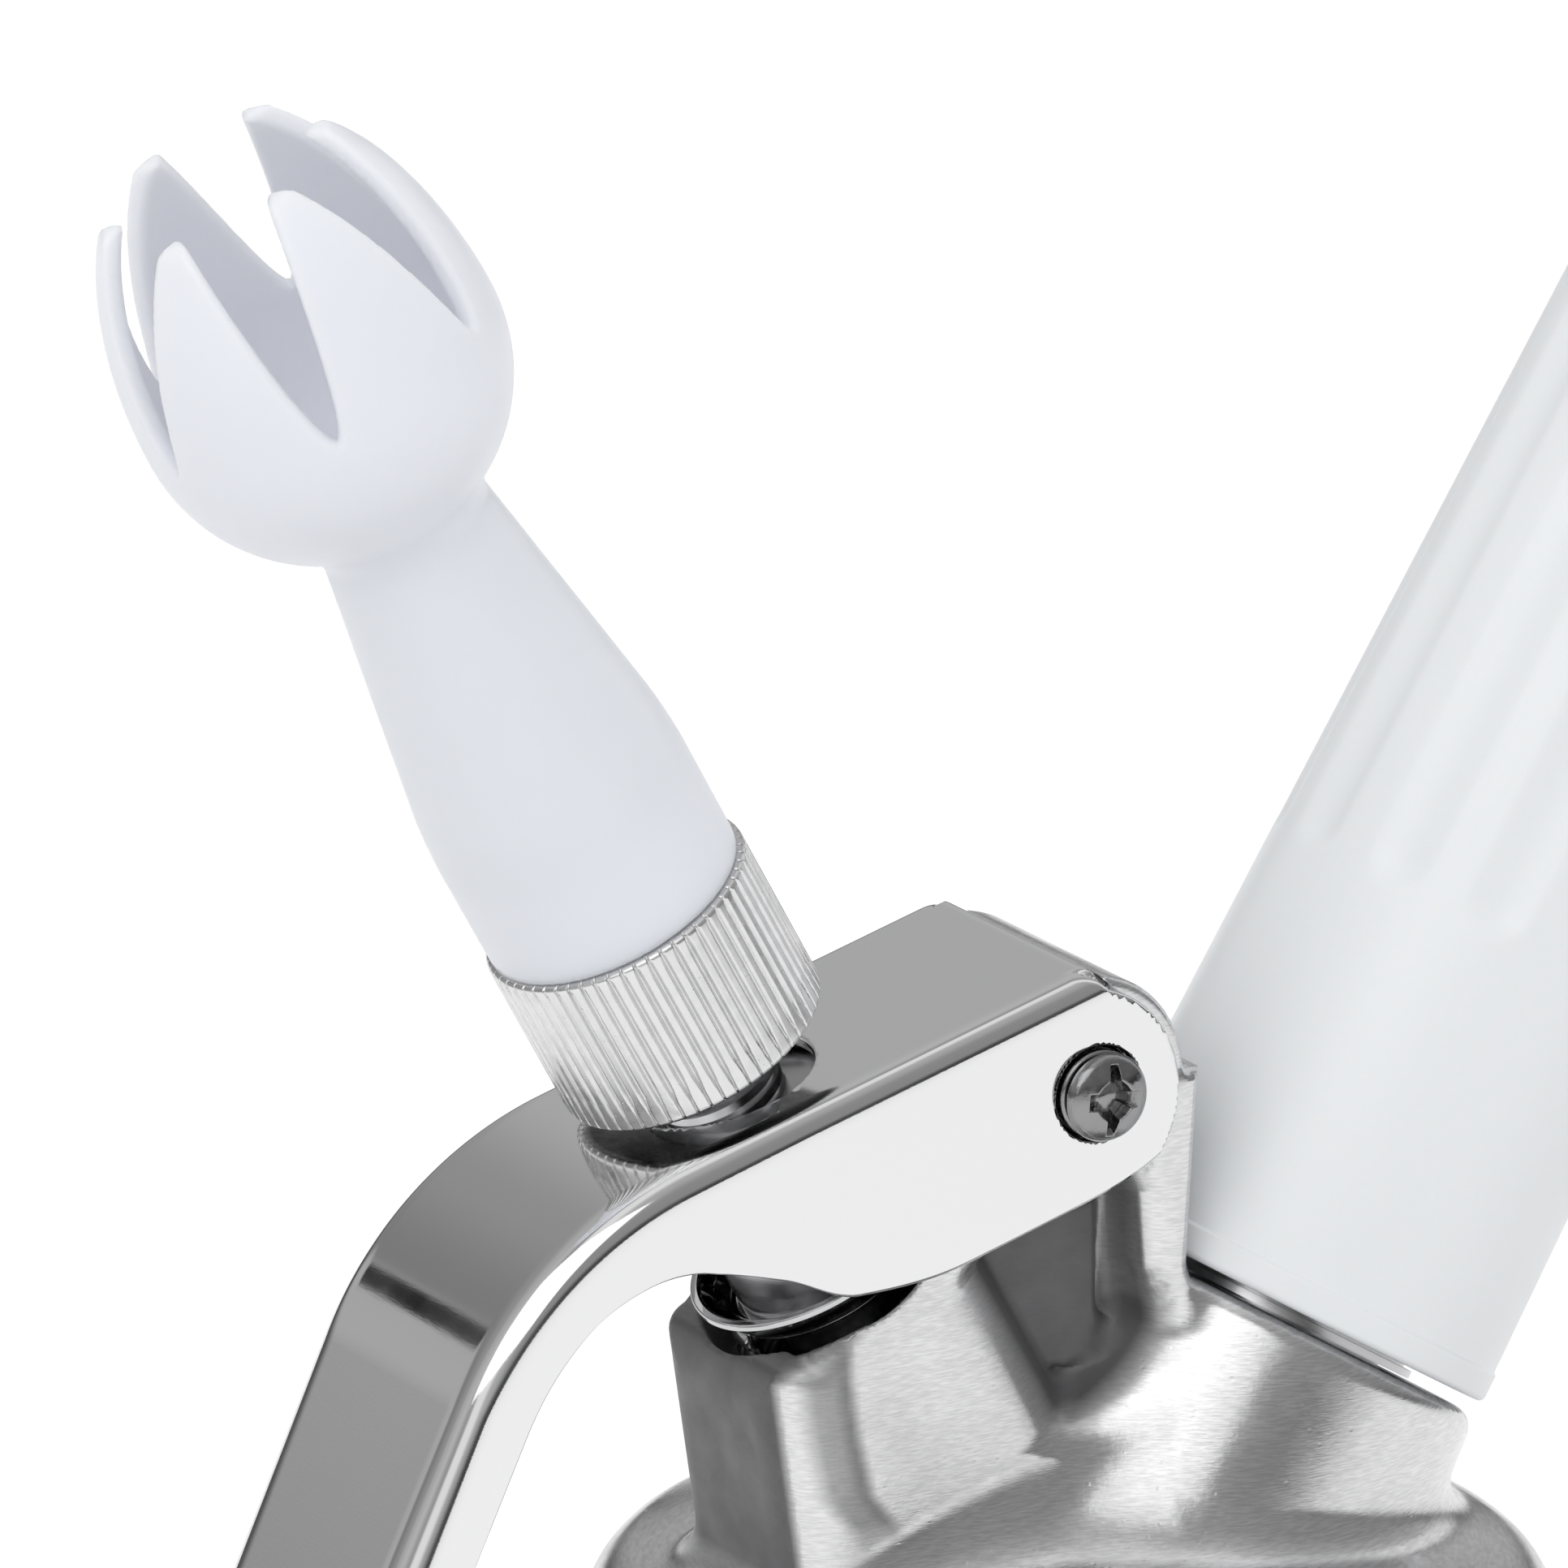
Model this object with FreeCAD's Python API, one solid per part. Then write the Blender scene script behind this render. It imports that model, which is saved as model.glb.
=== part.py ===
"""Half-litre whipped cream dispenser: bottle, cast head, squeeze lever, dispensing
valve with a tulip tip, and a charger holder. Millimetres, +Z up, origin at the centre
of the bottle's base on the table. The lever and tip point to -X, the charger to +X.

Two inclined ports leave one point on the bottle's axis. Everything turned on a port is
drawn as (radius, distance along the port) and then tilted into place.
"""
import FreeCAD, Part
import math
import os

Vec = FreeCAD.Vector
PARTS_FOLDER = "parts"

# ---------------------------------------------------------------- clearances
RUNNING_GAP = 0.05       # turning and sliding fits
FACE_GAP = 0.28          # lever cheek to the casting's flat side
THREAD_GAP = 0.15        # crest to crest, so that a screwed piece can be lifted straight off

# ---------------------------------------------------------------- bottle
BOTTLE_R = 37.5
BOTTLE_WALL = 1.5
BASE_EDGE_R = 4.0
BODY_HEIGHT = 162.0
SHOULDER_R = 16.0        # convex arc
NECK_FILLET_R = 5.0      # concave arc into the neck
SHOULDER_TURN = 60.0     # degrees turned by each of the two arcs
NECK_R = 25.5
NECK_HEIGHT = 14.95      # straight neck above the shoulder
NECK_THREAD_DEPTH = 1.1
NECK_THREAD_PITCH = 3.2
NECK_THREAD_TURNS = 3
NECK_THREAD_START = 4.0  # first crest above the foot of the neck

# ---------------------------------------------------------------- head casting: skirt and dome
SKIRT_R = 31.0
SKIRT_BORE_R = 28.0
SKIRT_EDGE_R = 3.0
SKIRT_DROP = 14.0        # how far the skirt hangs below the neck's rim
DOME_EDGE_RISE = 3.3     # straight skirt above the neck's rim, up to the edge radius
DOME_RISE = 5.0          # crown of the dome above its edge
GASKET_HEIGHT = 2.0
GASKET_IN_R = 21.0
GASKET_OUT_R = 27.0
CHAMBER_R = 19.0
CHAMBER_DEPTH = 1.0      # recess of the ceiling inside the gasket
PORT_MEET_BELOW_RIM = 5.0  # the two port axes cross this far under the neck's rim

# ---------------------------------------------------------------- ports
NOZZLE_TILT = 29.2       # degrees from vertical, towards -X
CHARGER_TILT = 31.2      # degrees from vertical, towards +X

# ---------------------------------------------------------------- lever channel
LEVER_WIDTH = 20.4
LEVER_SHEET = 1.2
LEVER_SLOPE = 16.1       # web against the horizontal, at rest
LEVER_TRAVEL = 12.0      # degrees of squeeze
PIVOT_X = -4.15
PIVOT_ABOVE_MEET = 44.93
WEB_ABOVE_PIVOT = 7.8    # outer face of the web, square to it
WEB_PAST_PIVOT = 1.6     # web's cut end, beyond the pivot
CHEEK_END_R = 7.35
CHEEK_END_SHIFT = 1.5    # the cheek's round end is struck from this side of the pivot
CHEEK_EDGE = ((3.0, 14.4), (11.8, 14.5), (19.5, 13.15), (24.0, 9.9), (29.8, 6.95), (34.3, 6.15))
                         # lower edge: distance behind the pivot, depth below the web
HANDLE_DEPTH = 4.8       # cheek depth along the handle
HANDLE_FALL = 25.3       # handle against the vertical
WEB_LENGTH = 39.66       # pivot to the corner where web and handle lines meet
BEND_R = 25.0            # outer radius of that corner
HANDLE_LENGTH = 82.0     # corner to the handle's tip
HANDLE_END_R = 9.0       # rounded corners of the tip
CHANNEL_EDGE_R = 2.0     # folded edge between web and cheek
STEM_HOLE_R = 6.3
PIVOT_BUSH_R = 3.0

# ---------------------------------------------------------------- pivot
PIVOT_SCREW_R = 2.0
SCREW_HEAD_R = 2.9
SCREW_HEAD_HEIGHT = 2.0
CROSS_WIDTH = 0.9
CROSS_LENGTH = 3.4
CROSS_DEPTH = 1.1
LUG_UNDER_WEB_GAP = 0.4  # lug to the web's inner face
LUG_REAR_R = 7.1         # lug beyond the web's cut end

# ---------------------------------------------------------------- head casting: bosses
BOSS_LEFT_X = -25.7
BOSS_LEFT_DRAFT = 2.4    # the outer wall comes in by this much towards the skirt
BOSS_CORNER_R = 3.6
BOSS_ROUND_R = 9.5       # round body about the nozzle port
MOUTH_V = 38.0           # height of the mouth along the nozzle port
MOUTH_LIP_RISE = 3.0     # the mouth's outer wall stands this much higher
MOUTH_LIP_IN = 6.2       # and starts this far from the port's axis
MOUTH_DEPTH = 1.9        # depth of the mouth's flare
MOUTH_R = 9.2
SPRING_BORE_R = 7.3
SPINE_RIGHT_X = 4.3
SPINE_RIGHT_DRAFT = 0.9
CHARGER_BOSS_R = 14.5
CHARGER_BOSS_TOP = 28.9  # along the charger port
CHARGER_BOSS_TAPER = 0.09  # radius gained per millimetre towards the skirt
HOLDER_RELIEF = 0.6      # spine cut back around the holder
POCKET_FLOOR_HALF = 3.2  # half thickness of the spine between the two pockets
POCKET_BOTTOM_ABOVE_MEET = 23.0
POCKET_RIM = 2.6         # rim left standing at the charger side
PAD_RISE = 1.6
PAD_LEFT_GAP = 2.6
PAD_BOTTOM_ABOVE_MEET = 26.0
PAD_LENGTH = 7.0

# ---------------------------------------------------------------- dispensing valve
SEAT_V = 13.0
SEAT_POCKET_R = 8.0
BUSH_R = 6.0
BUSH_TOP_V = 27.0
STEM_R = 4.0
STEM_BORE_R = 2.2
STEM_ROD_R = 2.0
STEM_TUBE_FOOT_V = 16.0
STEM_STEP_V = 38.0
STEM_STEP_R = 5.4
SHOULDER_RING_R = 7.0
SHOULDER_TOP_V = 50.45
SHOULDER_RING_HEIGHT = 2.2
SHOULDER_FLARE = 3.0
STEM_TOP_V = 64.2
INLET_R = 1.4
INLET_V = 18.2
O_RING_WIRE_R = 0.45
O_RING_V = (21.0, 24.4)
SEAL_R = 6.6
SEAL_HEIGHT = 3.0
SEAL_NUT_R = 3.6
SEAL_NUT_HEIGHT = 2.6
CUP_R = 8.0
CUP_WALL = 0.8
CUP_RISE = 2.6
CUP_BORE_BELOW_STEP = 4.5  # the cup's bore goes this far below the stem's step, for its travel
SPRING_WIRE_R = 0.6
SPRING_COILS = 4.5
SPRING_MEAN_R = 6.2

# ---------------------------------------------------------------- tip and its metal insert
COLLAR_V = 56.4
COLLAR_HEIGHT = 11.6
COLLAR_R = 8.86
KNURL_COUNT = 60
KNURL_DEPTH = 0.35
SPIGOT_R = 6.3
SPIGOT_HEIGHT = 7.0
SPIGOT_BORE_R = 2.6
TIP_WASHER_HEIGHT = 0.9
TIP_BASE_R = 8.5
TIP_STEP_HEIGHT = 9.6    # plain sleeve above the collar
TIP_STEP_R = 8.55
TIP_NECK_R = 5.35
BULB_CENTRE = 41.4       # above the tip's base
BULB_R = 11.7
BULB_UPPER_HEIGHT = 19.5 # the petals follow a taller ellipse than the bulb's lower half
TIP_LENGTH = 56.4
TIP_WALL = 1.35
PETALS = 6
PETAL_TIP_HALF = 1.05
NOTCH_ROOT = 42.4
NOTCH_POWER = 0.62
PETAL_TURN = 6.2         # degrees the petals are turned round the port

# ---------------------------------------------------------------- charger holder
HOLDER_FOOT = 29.64      # along the charger port
HOLDER_FOOT_R = 14.5
HOLDER_LENGTH = 78.0
HOLDER_TAPER = 0.0177    # radius lost per millimetre
HOLDER_LIP_HEIGHT = 1.9
HOLDER_LIP_STEP = 0.15
HOLDER_CROWN_R = 5.0
HOLDER_BORE_R = 9.3
FLUTES = 12
FLUTE_R = 2.3
FLUTE_DEPTH = 0.55
FLUTE_FOOT = 27.0        # above the holder's foot
INSERT_R = 12.2
INSERT_HEIGHT = 11.0
INSERT_SET_UP = 0.5
HOLDER_THREAD_R = 9.6

# ---------------------------------------------------------------- charger and piercing pin
CHARGER_R = 9.0
CHARGER_LENGTH = 65.0
CHARGER_WALL = 1.6
CHARGER_NECK_R = 4.2
CHARGER_NECK = 6.8
CHARGER_SHOULDER = 6.0
CHARGER_FOOT = 34.7      # neck's end along the port
PIERCED_R = 1.25
SPIGOT_TOP = 38.0
PIN_PLUG_R = 7.5
PIN_PLUG_DEPTH = 10.0
NECK_SEAT = 32.5
NECK_SEAT_R = 4.35
GASKET_THICK = 2.0
GASKET_HOLE_R = 1.35
PIN_R = 1.0
PIN_BORE_R = 0.45
PIN_FOOT = 24.0
PIN_FOOT_R = 3.0
PIN_FOOT_HEIGHT = 2.0
PIN_TIP = 36.6
PIN_POINT = 1.6
PIN_SHAFT_HOLE_R = 1.5
CHECK_SEAT = 15.4
CHECK_R = 3.2
GAS_HOLE_R = 1.5

# ---------------------------------------------------------------- heights that follow
SHOULDER_SWING = math.radians(SHOULDER_TURN)
SHOULDER_RUN = BOTTLE_R - NECK_R - (SHOULDER_R + NECK_FILLET_R) * (1 - math.cos(SHOULDER_SWING))
SHOULDER_LINE = SHOULDER_RUN / math.sin(SHOULDER_SWING)
SHOULDER_HEIGHT = ((SHOULDER_R + NECK_FILLET_R) * math.sin(SHOULDER_SWING)
                   + SHOULDER_LINE * math.cos(SHOULDER_SWING))
NECK_FOOT_Z = BODY_HEIGHT + SHOULDER_HEIGHT
RIM_Z = NECK_FOOT_Z + NECK_HEIGHT
SKIRT_BOTTOM_Z = RIM_Z - SKIRT_DROP
CEILING_Z = RIM_Z + GASKET_HEIGHT
MEET_Z = RIM_Z - PORT_MEET_BELOW_RIM
PIVOT_Z = MEET_Z + PIVOT_ABOVE_MEET
FLAT_HALF = LEVER_WIDTH / 2 - LEVER_SHEET - FACE_GAP
CUP_BORE_R = CUP_R + THREAD_GAP
TIP_BASE_V = COLLAR_V + COLLAR_HEIGHT


# ================================================================ helpers
def arc_through(a, b, c):
    """Arc edge through three (x, z) points in the XZ plane."""
    return Part.Arc(Vec(a[0], 0, a[1]), Vec(b[0], 0, b[1]), Vec(c[0], 0, c[1])).toShape()


def outline(*steps):
    """Closed XZ face. A step is a point, or a pair (middle point, end point) for an arc."""
    edges = []
    here = steps[0]
    for step in list(steps[1:]) + [steps[0]]:
        if isinstance(step[0], tuple):
            edges.append(arc_through(here, step[0], step[1]))
            here = step[1]
        else:
            if math.hypot(step[0] - here[0], step[1] - here[1]) > 1e-7:
                edges.append(Part.LineSegment(Vec(here[0], 0, here[1]),
                                              Vec(step[0], 0, step[1])).toShape())
            here = step
    return Part.Face(Part.Wire(edges))


def turned(*steps):
    """Solid of revolution about Z of an outline given as (radius, height)."""
    return outline(*steps).revolve(Vec(0, 0, 0), Vec(0, 0, 1), 360)


def drum(radius, low, high):
    """Plain cylinder on Z between two heights."""
    return Part.makeCylinder(radius, high - low, Vec(0, 0, low))


def cone(low_r, high_r, low, high):
    """Cone frustum on Z between two heights."""
    if abs(low_r - high_r) < 1e-6:
        return drum(low_r, low, high)
    return Part.makeCone(low_r, high_r, high - low, Vec(0, 0, low))


def slab(face, half):
    """XZ face thickened to both sides of Y = 0."""
    solid = face.extrude(Vec(0, 2 * half, 0))
    solid.translate(Vec(0, -half, 0))
    return solid


def on_nozzle(shape):
    """From the drawing position on Z to the nozzle port."""
    placed = shape.copy()
    placed.rotate(Vec(0, 0, 0), Vec(0, 1, 0), -NOZZLE_TILT)
    placed.translate(Vec(0, 0, MEET_Z))
    return placed


def on_charger(shape):
    """From the drawing position on Z to the charger port."""
    placed = shape.copy()
    placed.rotate(Vec(0, 0, 0), Vec(0, 1, 0), CHARGER_TILT)
    placed.translate(Vec(0, 0, MEET_Z))
    return placed


def nozzle_point(across, along):
    """(x, z) of a point beside the nozzle port: across is positive towards +X."""
    tilt = math.radians(NOZZLE_TILT)
    return (across * math.cos(tilt) - along * math.sin(tilt),
            MEET_Z + across * math.sin(tilt) + along * math.cos(tilt))


def arc_middle(centre, radius, start, end):
    """Point half way round an arc given by two angles in radians."""
    middle = (start + end) / 2
    return (centre[0] + radius * math.cos(middle), centre[1] + radius * math.sin(middle))


def ring_wire(radius, wire_r, height):
    """Round-section ring on Z."""
    return Part.makeTorus(radius, wire_r, Vec(0, 0, height), Vec(0, 0, 1))


def around(shape, count):
    """Copies of a shape spaced evenly about Z."""
    copies = []
    for index in range(count):
        turned_copy = shape.copy()
        turned_copy.rotate(Vec(0, 0, 0), Vec(0, 0, 1), 360.0 * index / count)
        copies.append(turned_copy)
    return copies


# ================================================================ bottle
def bottle_body(inset, foot, top):
    """Bottle outline shrunk by inset: base edge, wall, two shoulder arcs and neck."""
    body = BOTTLE_R - inset
    neck = NECK_R - inset
    edge = max(BASE_EDGE_R - inset, 0.5)
    big = SHOULDER_R - inset
    small = NECK_FILLET_R + inset
    half = SHOULDER_SWING / 2
    turn = SHOULDER_SWING
    first = (body - big, BODY_HEIGHT)
    low = (first[0] + big * math.cos(turn), first[1] + big * math.sin(turn))
    second = (neck + small, NECK_FOOT_Z)
    high = (second[0] - small * math.cos(turn), second[1] - small * math.sin(turn))
    return turned(
        (0, foot), (body - edge, foot),
        ((body - edge + edge * math.sin(math.pi / 4), foot + edge - edge * math.cos(math.pi / 4)),
         (body, foot + edge)),
        (body, BODY_HEIGHT),
        ((first[0] + big * math.cos(half), first[1] + big * math.sin(half)), low),
        high,
        ((second[0] - small * math.cos(half), second[1] - small * math.sin(half)),
         (neck, NECK_FOOT_Z)),
        (neck, top), (0, top))


def thread_crests(root_r, depth, first, pitch, turns, outward):
    """Screw thread as plain rings: a rounded crest at each pitch."""
    sign = 1 if outward else -1
    rings = []
    for index in range(turns):
        middle = first + pitch * index
        half = pitch * 0.32
        rings.append(turned((root_r - sign * 0.2, middle - half), (root_r, middle - half),
                            (root_r + sign * depth, middle - half * 0.4),
                            (root_r + sign * depth, middle + half * 0.4),
                            (root_r, middle + half), (root_r - sign * 0.2, middle + half)))
    return rings


def make_bottle():
    shell = bottle_body(0, 0, RIM_Z).cut(bottle_body(BOTTLE_WALL, BOTTLE_WALL, RIM_Z + 1))
    crests = thread_crests(NECK_R, NECK_THREAD_DEPTH, NECK_FOOT_Z + NECK_THREAD_START,
                           NECK_THREAD_PITCH, NECK_THREAD_TURNS, True)
    return shell.fuse(crests).removeSplitter()


# ================================================================ head casting
def dome_and_skirt():
    """Cap of the casting: skirt with a rounded edge under a shallow dome."""
    edge_z = RIM_Z + DOME_EDGE_RISE
    inner = SKIRT_R - SKIRT_EDGE_R
    shoulder_z = edge_z + SKIRT_EDGE_R
    crown_z = shoulder_z + DOME_RISE
    sphere_r = (inner ** 2 + DOME_RISE ** 2) / (2 * DOME_RISE)
    half_r = inner / 2
    half_z = crown_z - sphere_r + math.sqrt(sphere_r ** 2 - half_r ** 2)
    lip = 0.8
    return turned((0, SKIRT_BOTTOM_Z), (SKIRT_R - lip, SKIRT_BOTTOM_Z),
                  (SKIRT_R, SKIRT_BOTTOM_Z + lip), (SKIRT_R, edge_z),
                  ((inner + SKIRT_EDGE_R * math.sin(math.pi / 4),
                    edge_z + SKIRT_EDGE_R * math.cos(math.pi / 4)), (inner, shoulder_z)),
                  ((half_r, half_z), (0, crown_z)))


def web_side(along, square):
    """(x, z) of a point given along the lever's web (positive past the pivot) and square to it."""
    slope = math.radians(LEVER_SLOPE)
    return (PIVOT_X + along * math.cos(slope) - square * math.sin(slope),
            PIVOT_Z + along * math.sin(slope) + square * math.cos(slope))


def boss_and_spine():
    """Flat-sided body between the lever's cheeks: valve boss, spine and charger side."""
    foot_z = RIM_Z + DOME_EDGE_RISE
    tilt = math.radians(NOZZLE_TILT)
    across = (BOSS_LEFT_X + MOUTH_V * math.sin(tilt)) / math.cos(tilt)
    mouth_right = nozzle_point(BOSS_ROUND_R + 0.6, MOUTH_V)
    face = outline((BOSS_LEFT_X + BOSS_LEFT_DRAFT, foot_z), nozzle_point(across, MOUTH_V), mouth_right,
                   (PIVOT_X - 3.5, PIVOT_Z - 4.0), (PIVOT_X + 2.0, PIVOT_Z),
                   (SPINE_RIGHT_X, PIVOT_Z), (SPINE_RIGHT_X - SPINE_RIGHT_DRAFT, foot_z + 22),
                   (SPINE_RIGHT_X + 4, foot_z))
    body = slab(face, FLAT_HALF)
    corners = [edge for edge in body.Edges
               if edge.BoundBox.YLength < 1e-6 and edge.BoundBox.XMax < BOSS_LEFT_X + BOSS_LEFT_DRAFT + 0.1
               and edge.BoundBox.ZLength > 5]
    return body.makeFillet(BOSS_CORNER_R, corners)


def pivot_lug():
    """Round lug about the pivot: lower under the web, fuller beyond the web's end."""
    under_r = WEB_ABOVE_PIVOT - LEVER_SHEET - LUG_UNDER_WEB_GAP
    low = slab(Part.Face(Part.Wire(Part.Circle(Vec(PIVOT_X, 0, PIVOT_Z), Vec(0, 1, 0),
                                               under_r).toShape())), FLAT_HALF)
    full = slab(Part.Face(Part.Wire(Part.Circle(Vec(PIVOT_X, 0, PIVOT_Z), Vec(0, 1, 0),
                                                LUG_REAR_R).toShape())), FLAT_HALF)
    start = WEB_PAST_PIVOT + LUG_UNDER_WEB_GAP
    reach = LUG_REAR_R + 1
    beyond = slab(outline(web_side(start, -reach), web_side(start + reach, -reach),
                          web_side(start + reach, reach), web_side(start, reach)), FLAT_HALF + 1)
    return low.fuse(full.common(beyond))


def pocket_cutter(side):
    """Cored-out pocket in one flat side, left of the charger-side rim and below the lug."""
    depth = FLAT_HALF + 6 - POCKET_FLOOR_HALF
    floor_z = MEET_Z + POCKET_BOTTOM_ABOVE_MEET
    right = SPINE_RIGHT_X - SPINE_RIGHT_DRAFT - POCKET_RIM
    face = outline((BOSS_LEFT_X / 2, floor_z - 1.2), (right - 1.5, floor_z + 0.8),
                   (right + 0.4, floor_z + 4.5), (right + 0.3, PIVOT_Z - 8.3), (right - 1.0, PIVOT_Z - 5.8),
                   (PIVOT_X - 6, PIVOT_Z - 6.5), (BOSS_LEFT_X / 2, PIVOT_Z - 8))
    block = face.extrude(Vec(0, depth, 0))
    block.translate(Vec(0, POCKET_FLOOR_HALF, 0))
    keep = on_nozzle(drum(BOSS_ROUND_R, 0, MOUTH_V + 20))
    cutter = block.cut(keep)
    if side < 0:
        cutter = cutter.mirror(Vec(0, 0, 0), Vec(0, 1, 0))
    return cutter


def pocket_pad(side):
    """Flat raised pad on the pocket's floor, its left edge along the round boss."""
    across = BOSS_ROUND_R + PAD_LEFT_GAP
    low = MOUTH_V - 5.6
    left_low = nozzle_point(across - 1.2, low - 7.5)
    left_high = nozzle_point(across - 1.2, low)
    bottom_z = MEET_Z + PAD_BOTTOM_ABOVE_MEET
    face = outline(left_high, (left_low[0], bottom_z - 0.6), (left_low[0] + PAD_LENGTH * 0.5, bottom_z),
                   ((left_low[0] + PAD_LENGTH * 0.85, bottom_z + 1.4),
                    (left_low[0] + PAD_LENGTH, bottom_z + 4.2)),
                   (left_low[0] + PAD_LENGTH, left_high[1]))
    pad = face.extrude(Vec(0, side * (POCKET_FLOOR_HALF + PAD_RISE), 0))
    return pad


def boss_rounds():
    """Round body about the nozzle port and the cone about the charger port."""
    lip_v = MOUTH_V + MOUTH_LIP_RISE
    reach = BOSS_ROUND_R + 2
    above = slab(outline((-CUP_BORE_R - 0.2, lip_v + 1), (-MOUTH_LIP_IN, MOUTH_V), (reach, MOUTH_V),
                         (reach, lip_v + 1)), reach)
    nozzle = on_nozzle(drum(BOSS_ROUND_R, 8, lip_v).cut(above))
    foot = 6.0
    grow = CHARGER_BOSS_TAPER * (CHARGER_BOSS_TOP - 1.0 - foot)
    charger = on_charger(cone(CHARGER_BOSS_R + grow, CHARGER_BOSS_R, foot, CHARGER_BOSS_TOP - 1.0)
                         .fuse(cone(CHARGER_BOSS_R, CHARGER_BOSS_R - 1.0,
                                    CHARGER_BOSS_TOP - 1.0, CHARGER_BOSS_TOP)))
    flats = Part.makeBox(200, 2 * FLAT_HALF, 200, Vec(-100, -FLAT_HALF, MEET_Z))
    return nozzle.common(flats), charger


def head_bores():
    """Everything bored or cored out of the casting."""
    skirt = drum(SKIRT_BORE_R, SKIRT_BOTTOM_Z - 1, CEILING_Z)
    chamber = drum(CHAMBER_R, CEILING_Z - 1, CEILING_Z + CHAMBER_DEPTH)
    valve = on_nozzle(drum(SEAT_POCKET_R, -4, SEAT_V)
                      .fuse([drum(BUSH_R, SEAT_V - 1, BUSH_TOP_V),
                             drum(SPRING_BORE_R, BUSH_TOP_V, STEM_STEP_V),
                             drum(CUP_BORE_R, STEM_STEP_V - CUP_BORE_BELOW_STEP, MOUTH_V + 12),
                             cone(CUP_BORE_R, MOUTH_R, MOUTH_V - MOUTH_DEPTH, MOUTH_V).common(
                                 Part.makeBox(2 * MOUTH_R, 2 * MOUTH_R, MOUTH_V,
                                              Vec(-MOUTH_LIP_IN, -MOUTH_R, 0)))]))
    gas = on_charger(drum(GAS_HOLE_R, 0, CHECK_SEAT + 1)
                     .fuse([drum(CHECK_R, CHECK_SEAT, CHARGER_BOSS_TOP - PIN_PLUG_DEPTH),
                            drum(PIN_PLUG_R, CHARGER_BOSS_TOP - PIN_PLUG_DEPTH, CHARGER_BOSS_TOP + 8)]))
    holder_room = on_charger(drum(HOLDER_FOOT_R + HOLDER_RELIEF, CHARGER_BOSS_TOP,
                                  CHARGER_BOSS_TOP + 30))
    pivot = Part.makeCylinder(PIVOT_BUSH_R, 2 * FLAT_HALF + 2,
                              Vec(PIVOT_X, -FLAT_HALF - 1, PIVOT_Z), Vec(0, 1, 0))
    return [skirt, chamber, valve, gas, holder_room, pivot]


def make_head_casting():
    nozzle, charger = boss_rounds()
    spine = boss_and_spine().cut([pocket_cutter(1), pocket_cutter(-1)])
    spine = spine.fuse([pocket_pad(1), pocket_pad(-1)])
    body = dome_and_skirt().fuse([spine, nozzle, charger, pivot_lug()])
    bored = body.cut(head_bores())
    crests = thread_crests(SKIRT_BORE_R, SKIRT_BORE_R - NECK_R - NECK_THREAD_DEPTH - 2 * THREAD_GAP,
                           NECK_FOOT_Z + NECK_THREAD_START + NECK_THREAD_PITCH / 2,
                           NECK_THREAD_PITCH, NECK_THREAD_TURNS - 1, False)
    return bored.fuse(crests).removeSplitter()


def make_head_gasket():
    return turned((GASKET_IN_R, RIM_Z), (GASKET_OUT_R, RIM_Z), (GASKET_OUT_R, CEILING_Z),
                  (GASKET_IN_R, CEILING_Z))


# ================================================================ lever and pivot
def lever_side(inset):
    """Side view of the lever: web and handle line outside, cheek edge inside.

    inset moves only the web and handle line inwards, for the hollow of the channel."""
    slope = math.radians(LEVER_SLOPE)
    fall = math.radians(HANDLE_FALL)
    top = WEB_ABOVE_PIVOT - inset
    turn = math.pi / 2 - slope - fall
    corner = web_side(-WEB_LENGTH, WEB_ABOVE_PIVOT)
    web_dir = (math.cos(slope), math.sin(slope))
    web_out = (-math.sin(slope), math.cos(slope))
    down = (-math.sin(fall), -math.cos(fall))
    out = (-math.cos(fall), math.sin(fall))
    run = BEND_R * math.tan(turn / 2)

    def from_corner(along_web, along_handle, web_in, handle_in):
        return (corner[0] + along_web * web_dir[0] + along_handle * down[0]
                - web_in * web_out[0] - handle_in * out[0],
                corner[1] + along_web * web_dir[1] + along_handle * down[1]
                - web_in * web_out[1] - handle_in * out[1])

    centre = from_corner(run, 0, BEND_R, 0)
    radius = BEND_R - inset
    bend_start = from_corner(run, 0, inset, 0)
    bend_end = from_corner(0, run, 0, inset)
    bend_middle = (centre[0] + radius * math.cos(math.pi / 2 + slope + turn / 2),
                   centre[1] + radius * math.sin(math.pi / 2 + slope + turn / 2))
    return top, bend_start, bend_middle, bend_end, from_corner, run, centre


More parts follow.
